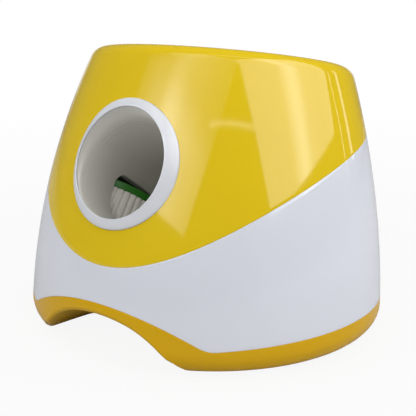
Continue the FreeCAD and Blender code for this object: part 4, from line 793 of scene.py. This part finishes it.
def cover_rows():
    centre, outward, contact = rim_centres(0.0)
    rows = soft_start(SEAM) + wall_rows(SEAM + EDGE, contact, 0.0, 44)
    swing = blend(outward, rim_normal, np.linspace(0, 1, 13)[1:])
    rows += [centre + RIM_RADIUS * unit(way) for way in swing]
    rows += blend(rows[-1], opening(1.0, 0.0), (0.35, 0.7, 1.0))
    rows += [opening(1.0 - math.sin(a), 1.0 - math.cos(a)) for a in np.radians([30, 60, 90])]
    rows.append(opening(0.0, WALL))
    centre, outward, contact = rim_centres(WALL)
    swing = blend(rim_normal, outward, (0, 0.33, 0.66))
    rows += [centre + (RIM_RADIUS - WALL) * unit(way) for way in swing]
    rows += wall_rows(contact, SEAM_INSIDE, WALL, 12)
    return rows


cover = rows_mesh("cover_moulding", cover_rows(), close_rows=True)
print("cover:", len(cover.data.polygons), "faces")

# %% Hole for the port
HOLE_GAP, BAR_REACH = 0.15, 30.0
port_y = profile(PORT_HEIGHT)[2] - profile(PORT_HEIGHT)[1]
port_centre = np.array([0.0, port_y, PORT_HEIGHT])


def tilted(angle):
    """Outward and upward directions of an axis that rises by an angle."""
    return np.array([0, -math.cos(angle), math.sin(angle)]), np.array([0, math.sin(angle), math.cos(angle)])


outward, upward = tilted(PORT_TILT)
around = turns(160)[:, None]
hole = port_centre + (PORT_RADIUS + HOLE_GAP) * (np.cos(around) * SIDE + np.sin(around) * upward)
bar = rows_mesh("port_cutter", [hole - outward * s for s in (-BAR_REACH, BAR_REACH)], cap=True)
carve(keep_normals(cover), keep_normals(bar))
show_normals(cover)
dress(cover, yellow_abs)
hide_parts("upper_cover")

# %% [markdown]
# ## The port ring
# A white satin moulding sits in the cover's hole, its inner lip proud of the rest.  Hole and
# lip are round about two axes that don't agree, 24 and 35 degrees up, so no primitive gives
# the shape: each point is found where a line along one of the axes meets the case's wall.

# %% Rows of the ring
RING_STEPS = 192
RING_TURN = turns(RING_STEPS)


def outside(points):
    """How far points lie outside the case's wall, roughly, in millimetres."""
    half_x, half_y, centre = profile(points[..., 2])
    share = np.sqrt((points[..., 0] / half_x) ** 2 + ((points[..., 1] - centre) / half_y) ** 2)
    return (share - 1) * half_y


def port_edge(radius, angle, proud):
    """Where a round about the port's axis stands proud of the wall by an amount."""
    outward, upward = tilted(angle)
    ring = port_centre + radius * (np.sin(RING_TURN)[:, None] * SIDE + np.cos(RING_TURN)[:, None] * upward)

    def gap(reach):
        return outside(ring + reach[:, None] * outward) - proud

    return ring + halve(np.full(RING_STEPS, -40.0), np.full(RING_STEPS, 40.0), gap)[:, None] * outward


RING_PROUD = 1.4
LIP_PROUD, LIP_SIDE, LIP_ROUND, RING_BORE = 2.6, 2.6, 0.45, 0.9
lip = port_edge(BORE_RADIUS, LAUNCH_TILT, LIP_PROUD + LIP_SIDE * np.sin(RING_TURN) ** 2)
launch_out, launch_up = tilted(LAUNCH_TILT)
radial = np.sin(RING_TURN)[:, None] * SIDE + np.cos(RING_TURN)[:, None] * launch_up


def ring_rows():
    foot = port_edge(PORT_RADIUS, PORT_TILT, -4.0)
    edge = port_edge(PORT_RADIUS, PORT_TILT, RING_PROUD - 0.4)
    shoulder = port_edge(PORT_RADIUS - 0.5, PORT_TILT, RING_PROUD)
    crest = lip + radial * (2 * LIP_ROUND)
    rows = [foot, edge, shoulder]
    for share in np.linspace(0, 1, 9)[1:]:
        swell = 0.3 * math.sin(math.pi * share)
        rows.append(shoulder * (1 - share) + crest * share + launch_out * swell)
    rows += [lip + radial * LIP_ROUND * (1 + math.cos(a)) + launch_out * LIP_ROUND * 0.6 * math.sin(a)
             for a in np.radians([45, 90, 135])]
    rows += [lip - launch_out * depth for depth in (0.15, RING_BORE)]
    rows.append(lip + radial * 2.0 - launch_out * RING_BORE)
    return rows


ring = rows_mesh("port_ring_moulding", ring_rows(), close_rows=True)
dress(ring, ring_abs)
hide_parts("port_ring")

# %% [markdown]
# ## The launch tube
# A pale grey tube carries the ball up between the wheels, with two slots for them and a
# round hole under the chute.  It starts behind the ring's bent lip and ends flat, so its
# rows change from one to the other.  Two fine ridges are where tube and collar meet.

# %% Rows of the tube
RIDGES = (9.9, 13.5)  # along the tube, from the port's centre
RIDGE_RISE, RIDGE_HALF = 0.3, 0.35
WHEEL_STATION, WHEEL_X, WHEEL_RADIUS = 76.0, 63.0, 38.0


def tube_ring(radius, along):
    """A ring of the tube; its radius and its depth may change round the tube."""
    reach, depth = (np.broadcast_to(np.asarray(v, float), RING_TURN.shape)[:, None] for v in (radius, along))
    return port_centre + reach * radial - launch_out * depth


lip_depth = -((lip - port_centre) @ launch_out)


def tube_rows():
    start = lip_depth + RING_BORE + 0.05
    rows = [tube_ring(BORE_RADIUS, start)]
    for ridge in RIDGES:
        rise = RIDGE_RISE * np.clip((ridge - RIDGE_HALF - start) / 1.5, 0, 1)  # none where the lip hides it
        for step in (-2.2, -1, 0, 1, 2.2):
            along = np.maximum(start + 0.03 * len(rows), ridge + step * RIDGE_HALF)
            rows.append(tube_ring(BORE_RADIUS - rise * (step == 0), along))
    rows += [tube_ring(BORE_RADIUS, along) for along in np.linspace(RIDGES[1] + 1.2, TUBE_END, 40)]
    rows += [tube_ring(BORE_RADIUS + TUBE_WALL, along) for along in np.linspace(TUBE_END, 22.0, 12)]
    rows.append(tube_ring(BORE_RADIUS + TUBE_WALL, start + 2.0))
    return rows


tube = rows_mesh("launch_tube_moulding", tube_rows(), close_rows=True)
print("tube:", len(tube.data.polygons), "faces")

# %% Slots for the wheels and hole under the chute
SLOT_LOW, SLOT_HIGH, SLOT_CORNER, THROAT_RADIUS = -28.0, 9.5, 8.0, 32.0
SLOT_HALF = math.sqrt(WHEEL_RADIUS ** 2 - (WHEEL_X - BORE_RADIUS - TUBE_WALL) ** 2) + 1.4
LAUNCH_AXES = np.array([SIDE, -launch_out, launch_up])


def launch_point(x, along, up):
    """Points of the tube's own frame, in the case's frame."""
    return port_centre + np.stack(np.broadcast_arrays(x, along, up), -1) @ LAUNCH_AXES


def slot_cutter():
    along, up = round_rectangle(SLOT_HALF, SLOT_LOW, SLOT_HIGH, SLOT_CORNER).T
    rows = [launch_point(x, WHEEL_STATION + along, up) for x in (-60.0, 60.0)]
    return rows_mesh("slot_cutter", rows, cap=True)


def feed_cutter():
    x, y = THROAT_RADIUS * np.cos(TURN), THROAT_RADIUS * np.sin(TURN)
    low = PORT_HEIGHT - (y - port_y) * math.tan(LAUNCH_TILT)
    rows = [np.stack([x, y, level + 0 * x], -1) for level in (low, 170.0)]
    return rows_mesh("feed_cutter", rows, cap=True)


keep_normals(tube)
for cutter in (slot_cutter(), feed_cutter()):
    carve(tube, keep_normals(cutter))
show_normals(tube)
dress(tube, tube_abs)
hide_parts("launch_tube")

# %% [markdown]
# ## The lower shell
# The white shell is the same wall, from the base trim up to the seam, which is an arc seen
# from the side.

# %% Rows of the shell
shell_rows = soft_start(TRIM) + wall_rows(TRIM + EDGE, SEAM - EDGE, 0.0, 40) + soft_end(SEAM)
shell_rows += wall_rows(SEAM_INSIDE, TRIM_INSIDE, WALL, 12)
shell = rows_mesh("shell_moulding", shell_rows, close_rows=True)
print("shell:", len(shell.data.polygons), "faces")

# %% Window for the control panel
PANEL_HALF, PANEL_LOW, PANEL_HIGH, PANEL_CORNER, WINDOW_GAP = 46.0, 58.0, 112.0, 9.0, 0.1
CUT_START, CUT_END = 95, 150  # a cutter's reach along Y, through the back wall
window = rounded_plate("window_cutter", PANEL_HALF + WINDOW_GAP, PANEL_LOW - WINDOW_GAP,
                       PANEL_HIGH + WINDOW_GAP, PANEL_CORNER, CUT_START, CUT_END)
carve(keep_normals(shell), keep_normals(window))
show_normals(shell)
dress(shell, white_abs)
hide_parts("lower_shell")

# %% [markdown]
# ## The control panel at the back
# A slate panel fills the window, flush with the shell.  It is cut out of the same wall with
# a rounded plate, slightly smaller than the window, so that a fine gap shows.

# %% Panel
PANEL_GAP, KEY_X, KEY_LEVEL = 0.25, 22.0, 88.0
LENS_PITCH, LENS_LEVEL, JACK_LEVEL = 8.0, 103.0, 68.0
blank_low, blank_high = np.full(STEPS, 50.0), np.full(STEPS, 120.0)
panel_rows = wall_rows(blank_low, blank_high, 0.0, 24) + wall_rows(blank_high, blank_low, WALL, 24)
panel = rows_mesh("panel_moulding", panel_rows, close_rows=True)
plate = rounded_plate("panel_plate", PANEL_HALF - PANEL_GAP, PANEL_LOW + PANEL_GAP,
                      PANEL_HIGH - PANEL_GAP, PANEL_CORNER, CUT_START, CUT_END)
carve(keep_normals(panel), keep_normals(plate), "INTERSECT")
holes = [(-KEY_X, KEY_LEVEL, 8.3), (KEY_X, KEY_LEVEL, 6.8), (0, JACK_LEVEL, 5.3)]  # x, z, radius
holes += [(step * LENS_PITCH, LENS_LEVEL, 1.65) for step in (-1, 0, 1)]
drills = rods("panel_holes", "Y", [((x, 0, z), radius, CUT_START, CUT_END) for x, z, radius in holes])
carve(panel, keep_normals(drills))
show_normals(panel)
dress(panel, panel_abs)
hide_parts("rear_panel")

# %% [markdown]
# ## The base tray
# The amber tray closes the case from below.  Its wall rounds under at the foot, and an arch
# runs through between the two feet.  A lofted tunnel with a flared mouth cuts the arch and
# leaves the round along its edge.  The same tunnel, 3 mm larger, first adds its wall.

# %% Section of the arch
ARCH_HEIGHT, ARCH_RADIUS, ARCH_CROWN, ARCH_SHOULDER, ARCH_HALF = 34.7, 105.0, 20.0, 20.0, 68.0
TUNNEL_HEIGHT, COVE_END = 14.0, 78.0
COVE_START = profile(ARCH_HEIGHT)[1]
ARCH_EDGE, FLARE_TOE = 2.6, 1.5  # radius of the arch's soft edge, and its spread below the floor
LEG_TURNS = np.radians([0, 25, 50, 75])


def arch_section(y, grow, flare=0.0):
    """The arch at each y, as (x, z) from the left floor to the right floor."""
    rise = np.clip((np.abs(y) - COVE_END) / (COVE_START - COVE_END), 0, None)
    height = TUNNEL_HEIGHT + (ARCH_HEIGHT - TUNNEL_HEIGHT) * rise
    squash, crown, floor_half = height / ARCH_HEIGHT, ARCH_CROWN + grow, ARCH_HALF + grow
    top, drop, fall = height + grow, crown ** 2 / (2 * ARCH_RADIUS), crown / ARCH_RADIUS
    shoulder_x, shoulder_z = crown + ARCH_SHOULDER, top - squash * (drop + fall * ARCH_SHOULDER)
    leg_x, leg_z = (shoulder_x + floor_half) / 2, (shoulder_z - FOOT_GAP) / 2
    shares = np.linspace(0, 1, 12)
    x = [crown * share for share in shares]
    z = [top - squash * across ** 2 / (2 * ARCH_RADIUS) for across in x]
    x += [bezier(crown, shoulder_x, leg_x, t) for t in shares[1:]]
    z += [bezier(top - squash * drop, shoulder_z, leg_z, t) for t in shares[1:]]
    for a in LEG_TURNS:
        level = FOOT_GAP + flare * (1 - math.sin(a))
        share = (leg_z - level) / (leg_z + FOOT_GAP)
        x.append(leg_x + (floor_half - leg_x) * share + flare * (1 - math.cos(a)))
        z.append(level + 0 * leg_z)
    x.append(x[-1] + (FLARE_TOE if flare else 0.0))
    z.append(z[-1] * 0 - FOOT_GAP)
    x, z = np.stack([v + 0 * y for v in x]), np.stack([v + 0 * y for v in z])
    return np.concatenate([-x[:0:-1], x]), np.concatenate([z[:0:-1], z])


def foot_inset(z):
    """How far the wall has drawn in at a height in the foot's round."""
    rise = np.clip(FOOT_GAP + FOOT_RADIUS - z, 0, FOOT_RADIUS)
    return FOOT_RADIUS - np.sqrt(FOOT_RADIUS ** 2 - rise ** 2)


def mouth_row(side, depth, grow, flare):
    """The arch at a depth inside the wall, at the front (-1) or back (1)."""
    columns = len(arch_section(np.array([0.0]), 0.0, flare)[0])
    y = np.full(columns, side * 125.0)
    pick = np.arange(columns)
    for _ in range(12):
        x, z = (part[pick, pick] for part in arch_section(y, grow, flare))
        half_x, half_y, centre = profile(z)
        inset = foot_inset(z)
        share = np.clip(x / (half_x - inset), -0.98, 0.98)
        y = centre + side * ((half_y - inset) * np.sqrt(1 - share ** 2) - depth)
    return np.stack([x, y, z], -1)


def level_row(y, grow, flare):
    x, z = arch_section(np.array([y]), grow, flare)
    return np.stack([x[:, 0], 0 * x[:, 0] + y, z[:, 0]], -1)


def tunnel(name, grow, flare):
    """The space between the feet as a closed mesh, with a flared mouth at each end."""
    ends = []
    for side in (-1, 1):
        if flare:
            rows = [mouth_row(side, -45.0, flare, flare), mouth_row(side, -0.4, flare, flare)]
            rows += [mouth_row(side, flare * (1 - math.sin(a)), flare * (1 - math.cos(a)), flare)
                     for a in np.radians([75, 60, 45, 30, 15, 0])]
            rows += blend(rows[-1], level_row(side * COVE_END, 0.0, flare), (0.25, 0.5, 0.75))
        else:
            rows = [level_row(side * 150.0, grow, flare)]
        rows.append(level_row(side * COVE_END, grow, flare))
        ends.append(rows)
    return rows_mesh(name, ends[0] + ends[1][::-1], cap=True)


print("arch points:", len(arch_section(np.array([0.0]), 0.0)[0]))

# %% Tray
POST_X, POST_Y, PAD_X, PAD_Y = 86.0, 74.0, 84.0, 50.0
POST_RADIUS, SCREW_HOLE, PAD_HOLE = 6.0, 3.5, 9.1
HATCH_HALF, HATCH_FRONT, HATCH_BACK, HATCH_GAP = 36.3, 25.2, 88.0, 0.2


def round_under(steps, inset):
    """Rows of the foot's round, on the outside or, with an inset, on the inside."""
    low, radius = FOOT_GAP + inset, FOOT_RADIUS - inset
    return [wall_points(TURN, low + radius * (1 - math.cos(a)), inset + radius * (1 - math.sin(a)))
            for a in steps]


def at_corners(x, y, radius, low, high):
    """Upright cylinders at four places, for rods."""
    return [((side_x * x, side_y * y, 0), radius, low, high) for side_x in (-1, 1) for side_y in (-1, 1)]


bend, steps = np.full(STEPS, FOOT_GAP + FOOT_RADIUS), np.radians(np.linspace(0, 90, 11))
tray_rows = round_under(steps, 0.0) + wall_rows(bend, TRIM - EDGE, 0.0, 9)[1:] + soft_end(TRIM)
tray_rows += wall_rows(TRIM_INSIDE, bend, WALL, 4) + round_under(steps[::-1][1:], WALL)
tray = rows_mesh("tray_moulding", tray_rows, cap=True)
inner_rows = [wall_points(TURN, z, 0.8 + foot_inset(z)) for z in np.linspace(FOOT_GAP + 0.4, 60.0, 24)]
sheath = keep_normals(tunnel("tunnel_wall", WALL, 0.0))
carve(sheath, keep_normals(rows_mesh("case_block", inner_rows, cap=True)), "INTERSECT")
carve(keep_normals(tray), sheath, "UNION")
posts = rods("posts", "Z", at_corners(POST_X, POST_Y, POST_RADIUS, 3.0, 30.0))
carve(tray, keep_normals(posts), "UNION")
carve(tray, keep_normals(tunnel("arch_cutter", 0.0, ARCH_EDGE)))
cuts = at_corners(POST_X, POST_Y, SCREW_HOLE, -1.0, 10.4) + at_corners(PAD_X, PAD_Y, PAD_HOLE, -1.0, 3.0)
carve(tray, keep_normals(rods("tray_cuts", "Z", cuts)))
hatch_hole = block("hatch_hole", (-HATCH_HALF - HATCH_GAP, HATCH_FRONT - HATCH_GAP, 0.0),
                   (HATCH_HALF + HATCH_GAP, HATCH_BACK + HATCH_GAP, 20.0))
carve(tray, keep_normals(hatch_hole))
show_normals(tray)
dress(tray, amber_abs)
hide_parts("base_tray")

# %% [markdown]
# ## The battery hatch
# A thin plate with round corners closes the battery bay from below, with a row of shallow
# grooves for the thumb.  It is the control panel's rounded plate, laid flat.

# %% Hatch
HATCH_CORNER, HATCH_LOW, HATCH_HIGH = 3.0, TUNNEL_HEIGHT, TUNNEL_HEIGHT + WALL
GROOVES, GROOVE_PITCH, GROOVE_HALF, GROOVE_WIDE, GROOVE_DEEP = 6, 2.6, 14.0, 1.3, 0.8
hatch = rounded_plate("hatch_moulding", HATCH_HALF, HATCH_FRONT, HATCH_BACK, HATCH_CORNER,
                      HATCH_LOW, HATCH_HIGH)
for vertex in hatch.data.vertices:
    vertex.co = vertex.co.xzy
face_out(hatch)
for number in range(GROOVES):
    back = HATCH_BACK - 6.0 - number * GROOVE_PITCH
    carve(hatch, block("groove_cutter", (-GROOVE_HALF, back - GROOVE_WIDE, HATCH_LOW - 2.0),
                       (GROOVE_HALF, back, HATCH_LOW + GROOVE_DEEP)))
hatch.data.set_sharp_from_angle(angle=math.radians(35))
dress(hatch, amber_abs)
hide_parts("battery_hatch")

# %% [markdown]
# ## Screws and pads under the base
# Four pan-head screws with a cross recess hold the case together, and four rubber pads stop
# it from sliding.  One of each is modelled and then repeated.

# %% Screws and pads
SCREW_OUTLINE = [(0.02, 8.0), (2.9, 8.0), (3.2, 9.6), (3.2, 10.4), (1.5, 10.4), (1.5, 41.0), (0.02, 41.0)]
PAD_OUTLINE = [(0.02, 0), (4.6, 0), (5.0, 0.5), (5.6, 0.5), (6.0, 0), (9.0, 0), (9.0, 3.0), (0.02, 3.0)]
screw = turned("casing_screw_pieces", soften(SCREW_OUTLINE, 0.3), steps=48)
for half, arm in ((2.0, 0.42), (0.42, 2.0)):
    carve(screw, block("cross_cutter", (-half, -arm, 7.0), (half, arm, 9.3)))
run_tree(screw, FOUR_CORNERS, {"Width": 2 * POST_X * MM, "Depth": 2 * POST_Y * MM, "Finish": steel})
screw.data.set_sharp_from_angle(angle=math.radians(35))
dress(screw, steel)
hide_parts("casing_screws")

pad = turned("foot_pad_pieces", soften(PAD_OUTLINE, 0.4))
run_tree(pad, FOUR_CORNERS, {"Width": 2 * PAD_X * MM, "Depth": 2 * PAD_Y * MM, "Finish": pad_rubber})
dress(pad, pad_rubber)
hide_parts("foot_pads")

# %% [markdown]
# ## The bowl
# The yellow bowl leads the balls to the throat.  It is one skin from an oval at the rim to a
# circle at the throat, so rows again.

# %% Bowl
THROAT_LEVEL, BOWL_WALL, COLLAR_RADIUS = 151.8, 2.5, 50.0


def circle(radius, level):
    return np.stack([radius * np.sin(TURN), -radius * np.cos(TURN), level + 0 * TURN], -1)


def bowl_rows():
    inside = blend(opening(0.0, WALL), circle(THROAT_RADIUS, THROAT_LEVEL + 2.2), np.linspace(0, 1, 25))
    inside[-1] = circle(THROAT_RADIUS + 0.5, THROAT_LEVEL + 1.9)
    rows = [opening(grow, WALL + drop) for grow, drop in ((4.0, BOWL_WALL), (4.0, 0.1), (0.7, 0.1))] + inside
    rows += [circle(THROAT_RADIUS, THROAT_LEVEL + 1.0), circle(THROAT_RADIUS, THROAT_LEVEL),
             circle(COLLAR_RADIUS, THROAT_LEVEL), circle(COLLAR_RADIUS, THROAT_LEVEL + BOWL_WALL)]
    low = circle(THROAT_RADIUS + BOWL_WALL + 2.5, THROAT_LEVEL + BOWL_WALL)
    rows += blend(low, opening(BOWL_WALL, WALL + BOWL_WALL), np.linspace(0, 1, 12))
    return rows


bowl = rows_mesh("bowl_moulding", bowl_rows(), close_rows=True)
bowl.data.set_sharp_from_angle(angle=math.radians(40))
dress(bowl, yellow_abs)
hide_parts("hopper_bowl")

# %% [markdown]
# ## The throwing wheels
# A pale tyre with 44 ribs sits on a green hub.  One rib with half a groove on each side is
# modelled and repeated round the axle.  The hub is a turned section.

# %% Tyres and hubs
RIB_COUNT, TYRE_LOW, TYRE_WIDTH, TYRE_WALL, GROOVE = 44, -24.0, 22.5, 4.0, 1.4
RIB_SHAPE = ((0, 1.0), (0.14, 0.99), (0.24, 0.90), (0.31, 0.66), (0.36, 0.34), (0.41, 0.08), (0.5, 0.0))
HUB_OUTLINE = [(1.5, 0), (6, 0), (6, 11.25), (31, 11.25), (31, 0), (34, 0), (34, 22.5), (37.5, 22.5),
               (37.5, 28), (31, 28), (31, 14.25), (6, 14.25), (6, 28), (1.5, 28)]


def tyre_sector():
    """One rib of the tyre with half a groove each side."""
    shape = [(-place, rise) for place, rise in RIB_SHAPE[:0:-1]] + list(RIB_SHAPE)
    place, rise = np.array(shape).T
    angle, crest = place * 2 * math.pi / RIB_COUNT, WHEEL_RADIUS - GROOVE + GROOVE * rise
    levels = [(0.0, 0.8), (0.25, 0.25), (0.8, 0.0), (TYRE_WIDTH / 2, 0.0), (TYRE_WIDTH - 0.8, 0.0),
              (TYRE_WIDTH - 0.25, 0.25), (TYRE_WIDTH, 0.8)]
    rings = [(crest - inset, z) for z, inset in levels]
    rings += [(0 * crest + WHEEL_RADIUS - TYRE_WALL, z) for z in (TYRE_WIDTH, 0.0)]
    return rows_mesh("tyre_sector", round_rows(angle, rings), close_rows=True, close_turn=False)


def wheel_place(side):
    """From a wheel's own frame, with its axle along Z, to the case's frame."""
    spot = launch_point(side * WHEEL_X, WHEEL_STATION, TYRE_LOW) * MM
    place = np.eye(4)
    place[:3] = np.stack([*LAUNCH_AXES, spot], -1)
    return Matrix(place.tolist())


for side, word in ((-1, "left"), (1, "right")):
    tyre = tyre_sector()
    run_tree(tyre, ROUND_REPEAT, {"Count": RIB_COUNT, "Finish": tyre_rubber})
    face_out(tyre)
    tyre.data.transform(wheel_place(side))
    tyre.name = word + "_tyre_moulding"
    dress(tyre, tyre_rubber, word + "_wheel")
    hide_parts(word + "_wheel_tyre")
    hub = turned(word + "_hub_moulding", soften(HUB_OUTLINE, 0.7), steps=128)
    hub.data.transform(wheel_place(side))
    dress(hub, green_pp, word + "_wheel")
    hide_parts(word + "_wheel_hub")

# %% End of the scene
print("scene built")
